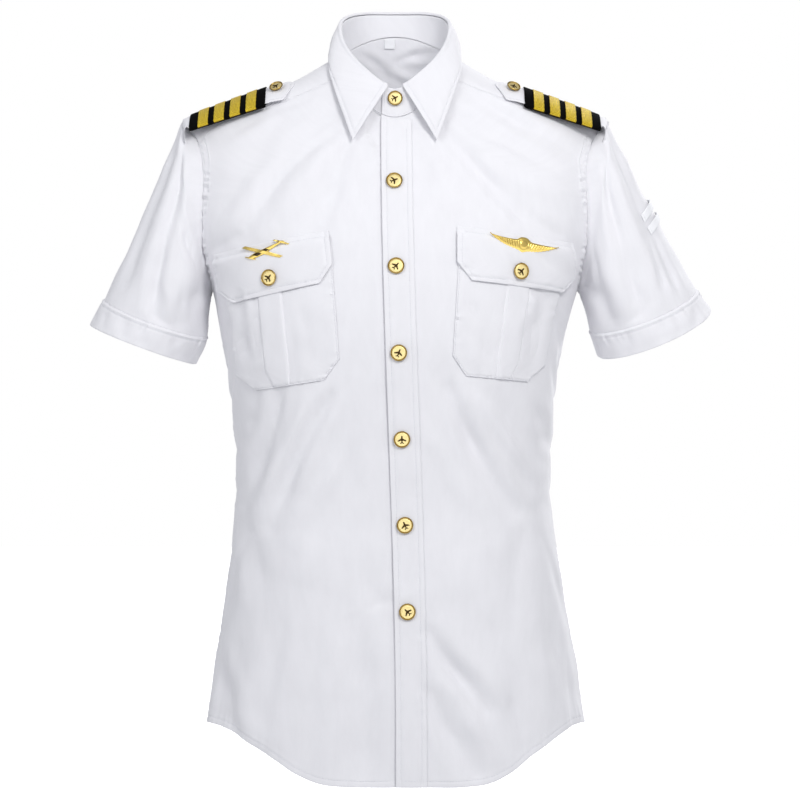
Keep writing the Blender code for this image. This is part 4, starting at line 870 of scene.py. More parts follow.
# From angle, row, to angle, row, bow, width in degrees, height in millimetres: both sleeves, then each
SLEEVE_CREASES = (
    (-16, 0.9, 30, 0.9, 0, 16, -3.4),
    (150, 1.2, 118, 5.0, -5, 7, -1.6),
    (-14, 1.0, -20, 7.0, 3, 6, -1.3),
    (-40, 0.5, -66, 4.2, -4, 9, -3.0),
    (-66, 3.8, -92, 7.7, 4, 9, -2.6),
    (-60, 0.8, -50, 6.0, -4, 7, 1.4),
    (-100, 1.0, -84, 5.5, -4, 7, -1.5),
    (-146, 1.2, -116, 5.2, 5, 7, -1.6),
    (-128, 4.2, -112, 8.0, -3, 7, -1.2),
)
SLEEVE_OWN_CREASES = {
    -1: (
        (38, 0.4, 76, 5.0, -5, 9, -4.2),
        (74, 4.6, 99, 7.9, 4, 8, -3.4),
        (84, 2.7, 112, 2.4, 3, 7, -2.4),
        (60, 1.0, 92, 5.5, 6, 8, 1.8),
        (24, 1.5, 40, 7.8, 3, 7, -1.6),
        (112, 4.5, 120, 7.9, 3, 7, -1.6),
    ),
    1: (
        (50, 0.3, 88, 5.4, -4, 8, -3.4),
        (86, 5.0, 99, 7.9, 3, 8, -3.0),
        (64, 0.8, 76, 6.5, 4, 8, 1.8),
        (36, 5.4, 47, 7.8, 2, 5, -1.8),
        (46, 5.1, 58, 7.5, -2, 5, -1.8),
        (24, 0.8, 40, 4.2, 3, 7, -1.6),
        (116, 2.0, 126, 7.6, -4, 8, -1.8),
    ),
}


def sleeve_ring(side, ends, depth, dip, share, turn):
    """A leaning oval: outer x, z and underarm x, z set its width, depth and dip its front."""
    outer_x, outer_z, under_x, under_z = ends
    x = (outer_x + under_x) / 2 + (outer_x - under_x) / 2 * np.cos(turn)
    z = (outer_z + under_z) / 2 + (outer_z - under_z) / 2 * np.cos(turn) - dip * np.sin(turn)
    return np.stack([side * x, -depth * np.sin(turn) - SLEEVE_FORWARD * share, z], axis=-1)


def tube_outward(rings):
    """Normals of a tube of rings, turned away from its own middle."""
    across = np.roll(rings, -1, 1) - np.roll(rings, 1, 1)
    normals = unit(np.cross(across, np.gradient(rings, axis=0)))
    away = np.sum(normals * (rings - rings.mean(axis=1, keepdims=True)), axis=-1)
    return normals * np.where(np.median(away) < 0, -1, 1)


def by_twenty(places):
    """Folds and creases round the sleeve with their degrees in units of 20, about the pitch of a row."""
    scale = {6: (20, 1, 20, 1, 20, 1), 7: (20, 1, 20, 1, 20, 20, 1)}
    return [tuple(value / part for value, part in zip(place, scale[len(place)])) for place in places]


def sleeve_form(side, row, turn):
    """The sleeve's grid of points and outward directions, row 0 at the armhole to 8 at the cuff."""
    base = [body(*armhole(turn * ARM_STEPS / (2 * np.pi), side))]
    for number, (*ends, depth, dip) in enumerate(SLEEVES[side], 1):
        base.append(sleeve_ring(side, ends, depth, dip, number / 8, turn))
    rings = smooth(row, np.arange(9), np.array(base))
    out = tube_outward(rings)
    around, level = ((np.degrees(turn) + 180) % 360 - 180) / 20, row[:, None]
    folds = soft_folds(around, level, by_twenty(SLEEVE_FOLDS)) * ramp(level / 1.5) * ramp((8 - level) / 1.5)
    fine = creases(around, level, by_twenty(SLEEVE_CREASES + SLEEVE_OWN_CREASES[side]))
    folds = folds + fine * ramp(level / 0.8) * ramp((8 - level) / 0.8)
    folds = folds + uneven(rings, 0.06, 0.0005, 9 + side) * ramp(level)
    return rings + out * folds[..., None], out


SLEEVE_POINTS = 168
# Mean radius of the sleeve where it meets the body, and the length of one degree round its cuff
SLEEVE_RADIUS, SLEEVE_DEGREE = 0.18, 0.0011
turn = 2 * np.pi * np.arange(SLEEVE_POINTS) / SLEEVE_POINTS
row = np.concatenate([[0, 0.02, 0.05, 0.09, 0.14, 0.2], np.arange(0.29, 7.85, 0.092), [7.9, 7.95, 7.985, 8]])
sleeve_stitches = []
for side, hand in ((1, "left"), (-1, "right")):
    flat, out = sleeve_form(side, row, turn)
    ways = edge_ways(flat)
    from_seam = np.abs(np.degrees(turn) % 360 - 180)[None, :] * SLEEVE_DEGREE
    relief = puckered(ways[0], SLEEVE_RADIUS * turn, 0.0015, 81 + side, 0.0005, 0.012)
    relief = relief + puckered(from_seam, ways[0], 0.0020, 91 + side, 0.0005, 0.008)
    outer = pulled(flat + out * relief[..., None], first_row=1, last_row=1)
    inward = out.copy()
    form_out = body_normal(*armhole(turn * ARM_STEPS / (2 * np.pi), side))
    agree = np.sum(out[0] * form_out, axis=-1, keepdims=True)
    inward[0] = np.where(agree > 0.4, (out[0] + form_out) / (1 + agree), out[0])
    sleeve = shell("cloth_sleeve_" + hand, outer, outer - inward * WALL, cotton, closed=True)
    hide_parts("sleeve_" + hand)
    sleeve_stitches.append(outer[3:, SLEEVE_POINTS // 2 + 2])
sew("sewing_sleeves", sleeve_stitches, outward((0, 0, 0), (0, 0, -0.8), (-0.6, 0, 0)))


# ---- Cuffs ----------------------------------------------------------------------------------------
# The sleeve's own end turned up outside it, 28 mm deep and two layers thick. Its top edge is a raised
# tuck held by a row of stitches just below, its bottom edge a soft fold.
CUFF_FOOT = {-1: (0.3040, -0.2630, 0.1990, -0.3020), 1: (0.3145, -0.2485, 0.2025, -0.2932)}
CUFF_DIP, CUFF_DEEP, CUFF_THICK = {-1: 0.0035, 1: 0.0145}, 0.0585, 0.0022
TUCK_WIDE, TUCK_PROUD, TUCK_ROUND, TUCK_STITCH = 0.0036, 0.0004, 0.0008, 0.0044
# How far the cuff's inner layer reaches up past its seam, and how close it lies there
LINING_UP, LINING_CLOSE = 0.0012, 0.0003
# Where each short slanting crease starts, in millimetres round the cuff
CUFF_CREASES = (36, 62, 81, 118, 160, 205, 238, 276, 300, 330)
share = spread(0.030, 0.0011, (0, 0.25, 0.6, 1.0, 1.6, 2.2))
cuff_stitches = []
for side, hand in ((1, "left"), (-1, "right")):
    seam = sleeve_form(side, np.array([7.98, 7.99, 8.0]), turn)[0][-1]
    foot = sleeve_ring(side, CUFF_FOOT[side], CUFF_DEEP, CUFF_DIP[side], 1.0, turn)
    top = seam + (foot - seam) * 0.012
    rings = top + (foot - top) * share[:, None, None]
    out = tube_outward(rings)
    down, _, run, _ = edge_ways(rings)
    proud = TUCK_PROUD * bell((down - TUCK_WIDE / 2) / 0.0014) - TUCK_ROUND * (1 - ramp(down / 0.0016))
    relief = proud + puckered(down, run, TUCK_STITCH, 101 + side, 0.0008, 0.006)
    slant = creases(run * 1000, down * 1000, [(a, 2, a + 14, 27, 2, 5, -0.9) for a in CUFF_CREASES])
    relief = relief + slant + uneven(rings, 0.035, 0.0005, 12 + side) * ramp(down / 0.006)
    outer = pulled(rings + out * (CUFF_THICK - WALL + relief)[..., None], first_row=1)
    lining = rings - out * WALL
    lining[:2] += unit(rings[:2] - rings[6:7]) * LINING_UP - out[:2] * LINING_CLOSE
    cuff = shell("turned_cuff_" + hand, outer, lining, cotton, closed=True, soften=0.3)
    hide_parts("cuff_" + hand)
    line = seam_line(outer, edge_ways(outer)[0], TUCK_STITCH)
    cuff_stitches.append(np.concatenate([line, line[:1]]))
sew("sewing_cuffs", cuff_stitches, outward((1, 1, 1), (0, SLEEVE_FORWARD, 0.27), (-0.25, 0, 0)))


# ---- Collar stand ---------------------------------------------------------------------------------
# A stiffened cotton band sewn round the neck seam. Its left end laps over its right end at the front
# and buttons to it. It is stitched close to both of its edges.
STAND_HALF, STAND_DEEP, STAND_MIDDLE = 0.0545, 0.0575, -0.0045
STAND_TURN = (0, 10, 30, 63, 90, 111, 145, 180)
STAND_LEVEL = (-0.0330, -0.0300, -0.0160, 0.0105, 0.0330, 0.0432, 0.0515, 0.0530)
STAND_THICK, STAND_FOOT_STITCH, STAND_TOP_STITCH, STAND_END_STITCH = 0.0016, 0.0022, 0.0050, 0.0030
# Degrees round where its inner end starts to step in under the outer one, and over how many
STAND_STEP_FROM, STAND_STEP_OVER = 332, 12


def stand_top(degrees):
    """The stand's top edge at degrees round from the front: an oval whose level rises to the back."""
    turn = np.radians(degrees)
    from_front = np.degrees(np.arccos(np.cos(turn)))
    level = smooth(from_front, STAND_TURN, STAND_LEVEL)
    return np.stack([STAND_HALF * np.sin(turn), STAND_MIDDLE - STAND_DEEP * np.cos(turn), level], axis=-1)


turns = NECK_ENDS[0] + (360 + NECK_ENDS[1] - NECK_ENDS[0]) * spread(0.38, 0.0022)
foot, top = body(*neck(turns)), stand_top(turns)
lean = unit(top - foot)
out = unit(np.cross(unit(np.gradient(top, axis=0)), lean))
tucked = ramp((turns - STAND_STEP_FROM) / STAND_STEP_OVER)[:, None] * (STAND_THICK + GAP + 0.0002)
foot, top = foot - out * tucked + lean * GAP, top - out * tucked
share = spread(0.034, 0.0022)[:, None, None]
flat = foot + (top - foot) * share
up, down, run, _ = edge_ways(flat)
relief = puckered(up, run, STAND_FOOT_STITCH, 111, 0.0002, 0.004)
relief += puckered(down, run, STAND_TOP_STITCH, 112, 0.0002, 0.005)
relief += uneven(flat, 0.03, 0.0002, 15) * np.sin(np.pi * share[..., 0])
outer = flat + out * relief[..., None]
stand = shell("collar_band", outer, flat - out * STAND_THICK, cotton)
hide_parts("collar_stand")
lines = stitch_lines(outer, (0, STAND_FOOT_STITCH, (2, 3)), (2, STAND_END_STITCH, (0, 1)))
sew("sewing_collar_band", lines, outward((1, 1, 0)))


# ---- Collar leaf ----------------------------------------------------------------------------------
# Two cotton layers with a fused stiffening, sewn along the band's top edge and folded down outside it
# to two points. A row of stitches follows its outer edges 5 mm in.
LEAF_ENDS = (-7.0, 8.0)
LEAF_BELLY, LEAF_THICK, LEAF_STITCH = 0.0022, 0.0013, 0.0050
# The fold over the stand's top edge, outside and inside the cloth: way outward, height
CREST_OUTSIDE = ((-0.0015, 0.0008), (-0.0012, 0.0024), (0.0001, 0.0034), (0.0019, 0.0028), (0.0031, 0.0004))
CREST_INSIDE = ((-0.0004, 0.0008), (-0.0002, 0.0014), (0.0003, 0.0018), (0.0011, 0.0014), (0.0018, -0.0002))
# Its free edge: share of the way round to the back, x, y, z
LEAF_EDGE = np.array(
    (
        (0.00, 0.0413, -0.0815, -0.0848),
        (0.13, 0.0527, -0.0680, -0.0525),
        (0.26, 0.0608, -0.0560, -0.0290),
        (0.38, 0.0655, -0.0415, -0.0130),
        (0.50, 0.0660, -0.0200, -0.0005),
        (0.61, 0.0655, 0.0080, 0.0040),
        (0.73, 0.0610, 0.0340, 0.0050),
        (0.86, 0.0380, 0.0560, 0.0080),
        (1.00, 0.0000, 0.0650, 0.0095),
    )
)
share = spread(0.42, 0.0024, STITCHED_EDGE)
turns = LEAF_ENDS[1] + (360 + LEAF_ENDS[0] - LEAF_ENDS[1]) * share
top = stand_top(turns)
away = unit(np.stack([np.sin(np.radians(turns)), -np.cos(np.radians(turns)), 0 * turns], axis=-1))
edge = smooth(1 - np.abs(2 * share - 1), LEAF_EDGE[:, 0], LEAF_EDGE[:, 1:])
edge[:, 0] *= np.where(share < 0.5, 1, -1)
crest = np.linspace(0, 4, 13)
crest_out, crest_in = (smooth(crest, np.arange(5), np.array(c)) for c in (CREST_OUTSIDE, CREST_INSIDE))
up = np.array([0, 0, 1.0])
over_outside, over_inside = (top + away * c[:, :1, None] + up * c[:, 1:, None] for c in (crest_out, crest_in))
fall = spread(0.055, 0.0015, STITCHED_EDGE, first=False)[1:, None, None]
sheet = over_outside[-1] + (edge - over_outside[-1]) * fall + away * LEAF_BELLY * 4 * fall * (1 - fall)
full = np.concatenate([over_outside[-1:], sheet])
out = unit(np.cross(np.gradient(full, axis=1), np.gradient(full, axis=0)))
out = out * np.sign(np.sum(out * away, axis=-1, keepdims=True))
down, up_way, over, back_over = edge_ways(full)
relief = puckered(up_way, over, LEAF_STITCH, 121, 0.00025, 0.005)
for way, seed in ((over, 122), (back_over, 123)):
    relief += puckered(way, down, LEAF_STITCH, seed, 0.0002, 0.004)
relief += 0.00025 * ramp((np.minimum.reduce((up_way, over, back_over)) - LEAF_STITCH) / 0.004)
relief = (relief + uneven(full, 0.05, 0.00035, 17)) * ramp(down / 0.012)
full = full + out * relief[..., None]
outer = np.concatenate([over_outside[:-1], full])
inner = np.concatenate([over_inside, (full - out * LEAF_THICK)[1:]])
leaf = shell("leaf_of_collar", outer, inner, cotton)
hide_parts("collar_leaf")
lines = stitch_lines(outer, *[(k, LEAF_STITCH, (1, 2, 3) if k == 1 else (1,)) for k in (1, 2, 3)])
sew("sewing_collar_leaf", lines, outward((1, 1, 0), (0, 0, 0.02)))


# ---- Pockets and flaps ----------------------------------------------------------------------------
# Patch pockets of the same cotton with a raised pleat down the middle, edge-stitched on the fronts,
# and two-layer flaps stitched on above them that button down over the pleat.
POCKET = {
    -1: ((-0.1685, -0.206), (-0.0620, -0.185), (-0.0520, -0.3165), (-0.1530, -0.3315)),
    1: ((0.1680, -0.196), (0.0630, -0.182), (0.0545, -0.3135), (0.1430, -0.3215)),
}
FLAP = {
    -1: ((-0.1770, -0.1955), (-0.0640, -0.1740), (-0.0580, -0.2230), (-0.1690, -0.2460)),
    1: ((0.1750, -0.1845), (0.0600, -0.1700), (0.0595, -0.2215), (0.1740, -0.2335)),
}
# Share of the height where the cut corners start, and how far they draw in the foot
POCKET_CORNER, FLAP_CORNER = (0.86, 0.16), (0.68, 0.125)
POCKET_LIFT, POCKET_BOW = 0.0008, 0.0010
PLEAT, PLEAT_EDGE, PLEAT_PROUD = (0.305, 0.520), 0.012, 0.0008
FLAP_STEP = WALL + PLEAT_PROUD + 0.0006
POCKET_STITCH, FLAP_STITCH = 0.0016, 0.0050
POCKET_BUTTON = {-1: (-0.1195, -0.2195), 1: (0.1200, -0.2132)}


def patch(corners, columns, rows, corner):
    """x, z over a four-cornered patch whose two lower corners are cut off: columns run from its
    outer to its inner side and draw in below the row where the corners start."""
    outer_top, inner_top, inner_foot, outer_foot = (np.array(c) for c in corners)
    inset = corner[1] * np.clip((rows - corner[0]) / (1 - corner[0]), 0, 1)
    u, v = (inset + columns * (1 - 2 * inset))[..., None], rows[..., None]
    top = outer_top + (inner_top - outer_top) * u
    foot = outer_foot + (inner_foot - outer_foot) * u
    place = top + (foot - top) * v
    return place[..., 0], place[..., 1]


def pocket_base(x):
    """Height of a pocket's underside above the front, a little more where the front turns aside."""
    return POCKET_LIFT + POCKET_BOW * ramp((np.abs(x) - 0.11) / 0.05)


# From x, z, to x, z, bow, width, height, as on the fronts: each pocket's own
POCKET_CREASES = {
    -1: (
        (-160, -306, -134, -262, 3, 6, -1.6),
        (-150, -322, -128, -290, -3, 5, 1.2),
        (-136, -240, -132, -310, 2, 4, -1.5),
        (-104, -250, -96, -320, 2, 6, -0.9),
        (-70, -262, -92, -312, -3, 7, 1.0),
    ),
    1: (
        (117, -238, 130, -264, 2, 5, -2.2),
        (124, -262, 112, -300, -2, 6, 1.6),
        (140, -234, 128, -318, 3, 5, -1.5),
        (68, -238, 92, -296, 3, 7, -1.2),
        (64, -276, 86, -312, 2, 6, 1.0),
    ),
}
EDGE_STEPS = (0, 0.3, 0.8, 1.4, 2.0, 2.8, 3.8, 4.6, 5.4, 6.4)
pocket_stitches = []
for side, hand in ((1, "left"), (-1, "right")):
    beside_pleat = np.repeat(PLEAT, 4) + np.tile((-0.012, -0.004, 0.004, 0.012), 2)
    u = np.sort(np.concatenate([spread(0.105, 0.0024, EDGE_STEPS), beside_pleat]))
    v = np.sort(np.append(spread(0.132, 0.0026, EDGE_STEPS), POCKET_CORNER[0]))
    columns, down = np.meshgrid(u, v)
    x, z = patch(POCKET[side], columns, down, POCKET_CORNER)
    pleat = ramp((columns - PLEAT[0]) / PLEAT_EDGE + 0.5) * ramp((PLEAT[1] - columns) / PLEAT_EDGE + 0.5)
    base = pocket_base(x)
    flat = on_front(x, z, base + WALL + (PLEAT_PROUD + 0.0002) * pleat)
    _, up_way, over, back_over = edge_ways(flat)
    around = np.minimum.reduce((over, back_over, up_way))
    base = base - (base - 0.0006) * (1 - ramp(around / 0.004))
    sewn = ((over, z, 131, 0.0008), (back_over, z, 134, 0.0008), (up_way, x, 137, 0.0006))
    relief = sum(puckered(way, run, POCKET_STITCH, seed + side, deep, 0.006) for way, run, seed, deep in sewn)
    loose = uneven(flat, 0.05, 0.00035, 19 + side) + creases(x * 1000, z * 1000, POCKET_CREASES[side])
    relief += loose * ramp(around / 0.012) * (1 - 0.6 * pleat)
    relief -= 0.0005 * sum(bell((columns - edge) / 0.010) for edge in PLEAT)
    outer = on_front(x, z, base + WALL + (PLEAT_PROUD + 0.0004) * pleat + relief)
    pocket = shell("patch_pocket_" + hand, outer, on_front(x, z, base), cotton)
    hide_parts("pocket_" + hand)
    pocket_stitches += stitch_lines(outer, *[(k, POCKET_STITCH, (1, 2, 3)) for k in (1, 2, 3)])

    u, v = spread(0.112, 0.0022, EDGE_STEPS), spread(0.052, 0.0018, EDGE_STEPS)
    columns, down = np.meshgrid(u, np.sort(np.append(v, FLAP_CORNER[0])))
    x, z = patch(FLAP[side], columns, down, FLAP_CORNER)
    base = pocket_base(x) + FLAP_STEP * ramp((down - 0.06) / 0.12)
    flat = on_front(x, z, base + WALL)
    down, up_way, over, back_over = edge_ways(flat)
    around = np.minimum.reduce((over, back_over, up_way))
    sewn = ((over, z, 141), (back_over, z, 144), (up_way, x, 147), (down, x, 150))
    relief = sum(puckered(way, run, FLAP_STITCH, seed + side, 0.0004, 0.005) for way, run, seed in sewn)
    relief += 0.0003 * ramp((around - FLAP_STITCH) / 0.005)
    relief += uneven(flat, 0.045, 0.0003, 23 + side) * ramp(around / 0.01)
    button_x, button_z = POCKET_BUTTON[side]
    relief -= 0.0005 * bell(np.hypot(x - button_x, z - button_z) / 0.009)
    outer = on_front(x, z, base + WALL + relief)
    flap = shell("pocket_flap_" + hand, outer, on_front(x, z, base), cotton)
    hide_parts("flap_" + hand)
    pocket_stitches += stitch_lines(outer, *[(k, FLAP_STITCH, range(4)) for k in range(4)])
sew("sewing_pockets", pocket_stitches, body_outwards)


# ---- Shoulder straps ------------------------------------------------------------------------------
# Two-layer cotton straps caught in the armhole seam at their broad end, blunt-pointed at the neck end
# where they button, and stitched 4 mm in from their edges.
# Both ends of the arch that the strap lies on, and its radius across
STRAP_ARCH_ENDS, STRAP_ARCH = ((0.0995, -0.0270, -0.0185), (0.2040, -0.0170, -0.0570)), 0.052
STRAP_ENDS, STRAP_HALF, STRAP_POINT, STRAP_STITCH = (0.0995, 0.2040), 0.0200, 0.010, 0.0038
BOARD_ENDS, BOARD_HALF, BOARD_WALL = (0.1270, 0.2025), (0.0230, 0.0255), 0.0010
STRAP_OUTSIDE = LIFT + BOARD_WALL + GAP + WALL
# Share of its width left at the strap's point; the bound end: from x, towards x, half width, bead
STRAP_BLUNT = 0.14
END_STEP, END_HALF, END_BEAD = (0.2030, 0.2105), 0.0185, 0.0007


def on_strap(x, across, lift):
    """A point of the arch over the shoulder, across from the strap's middle, and its normal."""
    (x0, y0, z0), (x1, y1, z1) = STRAP_ARCH_ENDS
    share, fall = (np.abs(x) - x0) / (x1 - x0), (z1 - z0) / (x1 - x0)
    y = y0 + (y1 - y0) * share + across
    point = np.stack(np.broadcast_arrays(x, y, z0 + (z1 - z0) * share - y**2 / (2 * STRAP_ARCH)), axis=-1)
    normal = unit(np.stack(np.broadcast_arrays(-fall * np.sign(x), y / STRAP_ARCH, 1.0), axis=-1))
    return point + normal * np.asarray(lift)[..., None], normal


def strap_base(x):
    """Height of the strap's underside above the arch: it climbs over the board's lower layer."""
    return LIFT + (BOARD_WALL + GAP) * ramp((x - STRAP_ENDS[0] - STRAP_POINT) / 0.012)


def sleeve_head(side, turns):
    """Points on the sleeve's head, a little way down from its seam, at turns round it."""
    turns = np.mod(turns, 2 * np.pi)
    order = np.argsort(turns)
    face, out = sleeve_form(side, np.array([0.0, 0.4, 0.8, 1.2]), turns[order])
    return (face + out * (WALL + 0.0005))[2, np.argsort(order)]


strap_stitches = []
for side, hand in ((1, "left"), (-1, "right")):
    start, end = STRAP_ENDS
    along = start + (end - start) * spread(end - start, 0.0016, EDGE_STEPS)
    x, w = np.meshgrid(along, 2 * spread(2 * STRAP_HALF, 0.0018, EDGE_STEPS) - 1, indexing="ij")
    blunt = STRAP_BLUNT + (1 - STRAP_BLUNT) * np.clip((x - start) / STRAP_POINT, 0, 1)
    flat, normal = on_strap(side * x, w * STRAP_HALF * blunt, strap_base(x) + WALL)
    ways = edge_ways(flat)
    inside = np.minimum.reduce((ways[0], ways[2], ways[3])) - STRAP_STITCH
    relief = 0.00025 * ramp(inside / 0.004) - 0.0003 * bell(inside / GROOVE_WIDE)
    relief = relief * (x < BOARD_ENDS[0] - 0.002)
    outer = flat + normal * relief[..., None]
    strap = shell("shoulder_strap_" + hand, outer, flat - normal * WALL, cotton)
    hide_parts("strap_" + hand)
    bare = x < BOARD_ENDS[0] - 0.001
    strap_stitches += stitch_lines(outer, *[(k, STRAP_STITCH, (0, 2, 3), bare) for k in (0, 2, 3)])

    # the strap's bound end, bent down over the sleeve's head: a parabola from the strap to the sleeve
    w = spread(2 * STRAP_HALF, 0.0012, EDGE_STEPS) * 2 - 1
    w, bend = np.meshgrid(w, np.linspace(1, 0, 13), indexing="ij")
    from_strap, normal = on_strap(side * END_STEP[0], w * END_HALF, strap_base(END_STEP[0]) + WALL)
    toward, _ = on_strap(side * END_STEP[1], w * END_HALF, strap_base(END_STEP[0]) + WALL)
    head = sleeve_head(side, np.arcsin(np.clip(-from_strap[:, 0, 1] / STRAP_ARCH, -1, 1)))[:, None]
    t = bend[..., None]
    outer = from_strap * (1 - t) ** 2 + 2 * toward * t * (1 - t) + head * t**2
    outer = outer + normal * END_BEAD * bell((1 - np.abs(w)) / 0.05)[..., None]
    end_piece = shell("strap_end_" + hand, outer, outer - normal * WALL, cotton)
sew("sewing_straps", strap_stitches, outward((0, 1 / STRAP_ARCH, 0), (0, 0, 1), (0.37, 0, 0)))


# ---- Slip-on boards -------------------------------------------------------------------------------
# Flat tubes of stiffened black wool cloth round the straps, with four bars of gold braid sewn across
# the top and turned over its edges.
BAR_FIRST, BAR_PITCH, BAR_WIDE, BAR_PROUD, BARS = 0.1410, 0.0158, 0.0100, 0.0007, 4
# Share of the board's half width where a bar turns over its edge, and how far past the edge it goes
BAR_TURN, BAR_PAST = 0.985, (-1.10, 1.02)
# Height and pitch of the braid's ribs, and of the unevenness of its edges
RIB_HIGH, RIB_PITCH, WAVER_HIGH, WAVER_PITCH = 0.00014, 0.0023, 0.00012, 0.0061


def ribbed(name, colour, shade, roughness, metallic, pitches, depth, specular):
    """Ribs and finer cords crossed on the map at two pitches, raised by depth, with painted shade in the
    hollows: the base colour goes to the shade colour where they are low, and a noise varies it.
    """
    made, tree, shader = shader_of(name, colour, roughness, metallic)
    place, ribs = crossed_threads(tree, pitches, 1.5, 2.0, 1.5)
    lump = add_node(tree, "ShaderNodeTexNoise", {"Scale": 620.0, "Detail": 3.0})
    tree.links.new(place, lump.inputs["Vector"])
    total = add_node(tree, "ShaderNodeMath", operation="ADD")
    tree.links.new(ribs, total.inputs[0])
    tree.links.new(lump.outputs["Fac"], total.inputs[1])
    raised(tree, shader, total.outputs["Value"], 0.8, depth)
    # painted shade: the colour darkens in the hollows of ribs and cords, with a random tone from the noise
    toned(tree, shader, total.outputs["Value"], (0.45, 0.85), (shade, colour))
    shader.inputs["Specular IOR Level"].default_value = specular
    return made


def board_half(x):
    """Half the board's width at x: it broadens evenly towards the sleeve."""
    start, end = BOARD_ENDS
    return BOARD_HALF[0] + (BOARD_HALF[1] - BOARD_HALF[0]) * (np.abs(x) - start) / (end - start)


# Each finish's colour, and the darker painted shade it takes in its hollows
black, black_painted_shade = (0.0045, 0.0042, 0.0042), (0.0015, 0.0015, 0.0015)
gold, gold_painted_shade = (1.0, 0.78, 0.05), (0.40, 0.22, 0.003)
board_cloth = ribbed("board cloth", black, black_painted_shade, 0.92, 0.0, (0.0009, 0.0009), 0.0003, 0.03)
braid = ribbed("gold braid", gold, gold_painted_shade, 0.40, 0.3, (0.0017, 0.0011), 0.0009, 0.2)
below, above = LIFT - 0.0001, STRAP_OUTSIDE + GAP + BOARD_WALL
for side, hand in ((1, "left"), (-1, "right")):
    start, end = BOARD_ENDS
    along = side * (start + (end - start) * spread(end - start, 0.0022, EDGE_STEPS))
    x, w = np.meshgrid(along, np.sin(np.linspace(-1, 1, 27) * np.pi / 2), indexing="ij")
    sag = -0.0004 * bell((np.abs(w) - 1) / 0.05)
    room = w * (board_half(x) - BOARD_WALL - 0.0006)
    cover, floor = (on_strap(x, w * board_half(x), lift)[0] for lift in (above + sag, below - sag))
    ceiling, ground = (
        on_strap(x, room, np.full(x.shape, lift))[0] for lift in (above - BOARD_WALL, below + BOARD_WALL)
    )
    outer = np.concatenate([cover, floor[:, ::-1]], axis=1)
    inner = np.concatenate([ceiling, ground[:, ::-1]], axis=1)
    board = shell("slip_on_board_" + hand, outer, inner, board_cloth, closed=True)
    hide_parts("board_" + hand)
    for number in range(BARS):
        middle = BAR_FIRST + BAR_PITCH * number
        strip = side * (middle + BAR_WIDE * (spread(BAR_WIDE, 0.0010, (0, 0.2, 0.5, 1.0)) - 0.5))
        x, way = np.meshgrid(strip, np.linspace(*BAR_PAST, 46), indexing="ij")
        half = board_half(x)
        w, turned = np.clip(way, -1, BAR_TURN), np.clip(-1 - way, 0, 1) * half
        ribs = RIB_HIGH * np.cos(2 * np.pi * (np.abs(x) - middle) / RIB_PITCH)
        waver = WAVER_HIGH * np.sin(2 * np.pi * way * half / WAVER_PITCH + number)
        round_edge, past = 0.0006 * bell((way + 1) / 0.02), ramp((-way - BAR_TURN) / 0.02)
        outer, _ = on_strap(x + side * waver, w * half, above + BAR_PROUD + ribs - turned - round_edge)
        under, _ = on_strap(x + side * waver, w * half, above + 0.00008 - turned)
        outer[..., 1] -= (BAR_PROUD - 0.0002) * past
        under[..., 1] -= 0.0001 * past
        bar = shell(f"braid_bar_{hand}_{number + 1}", outer, under, braid, soften=0.4)


# ---- Buttons --------------------------------------------------------------------------------------
# Pressed metal buttons with a bright rolled rim, a finely pitted field and a small dark aeroplane
# sign in the middle. Thread shanks hold them: one on the band, six on the placket, two on the flaps
# and two on the straps.
BUTTON_RADIUS, STRAP_BUTTON_RADIUS, COLLAR_BUTTON_RADIUS = 0.0081, 0.0070, 0.0074
# From the middle of its face over the rim to its back: share of the radius, height
BUTTON_PROFILE = np.array(
    (
        (0.02, 0.00185),
        (0.30, 0.00190),
        (0.60, 0.00188),
        (0.79, 0.00180),
        (0.83, 0.00155),
        (0.855, 0.00180),
        (0.88, 0.00235),
        (0.925, 0.00262),
        (0.970, 0.00240),
        (1.00, 0.00190),
        (0.985, 0.00130),
        (0.90, 0.00070),
        (0.70, 0.00035),
        (0.45, 0.00010),
        (0.30, 0.00000),
    )
)
# Sides of a button, the profile's step where its rim begins, and its way above the cloth
BUTTON_SIDES, RIM_FROM, BUTTON_RISE, COLLAR_BUTTON_RISE = 40, 4, 0.0005, 0.0006
COLLAR_BUTTON = (0.0002, -0.0425)
STRAP_BUTTON_X, STRAP_BUTTON_AHEAD, STRAP_BUTTON_LEAN = 0.1160, 0.002, 14
STRAP_BUTTON_RISE, STRAP_SHANK = 0.0021, 0.0014
# Half of a small aeroplane from above, nose to tail: way along it, half width, shares of the radius
SIGN = np.array(((0.46, 0.02), (0.40, 0.08), (0.16, 0.10), (0.10, 0.50), (-0.04, 0.50), (-0.10, 0.09)))
SIGN = np.concatenate([SIGN, ((-0.30, 0.06), (-0.34, 0.22), (-0.44, 0.22), (-0.44, 0.03))])
SIGN_SWEEP, SIGN_FACES = 0.45, (0.00212, 0.00170)


def metal(name, colour, roughness, pits, size, depth):
    """Metal whose surface is broken by fine pits of a given size and depth in metres."""
    made, tree, shader = shader_of(name, colour, roughness, 1.0)
    place = add_node(tree, "ShaderNodeTexCoord")
    grain = add_node(tree, "ShaderNodeTexNoise", {"Scale": 1 / size, "Detail": 4.0, "Roughness": pits})
    tree.links.new(place.outputs["Object"], grain.inputs["Vector"])
    raised(tree, shader, grain.outputs["Fac"], 0.7, depth)
    return made


button_rim = metal("button rim", (0.30, 0.205, 0.06), 0.34, 0.4, 0.0020, 0.00003)
button_field = metal("button field", (0.72, 0.60, 0.29), 0.55, 0.7, 0.0006, 0.00012)
button_sign = metal("button sign", (0.05, 0.03, 0.012), 0.55, 0.5, 0.0008, 0.00005)


def split(quads):
    """Every quad as two triangles, all the first ones and then all the second ones."""
    return np.concatenate([quads[:, [0, 1, 2]], quads[:, [0, 2, 3]]])


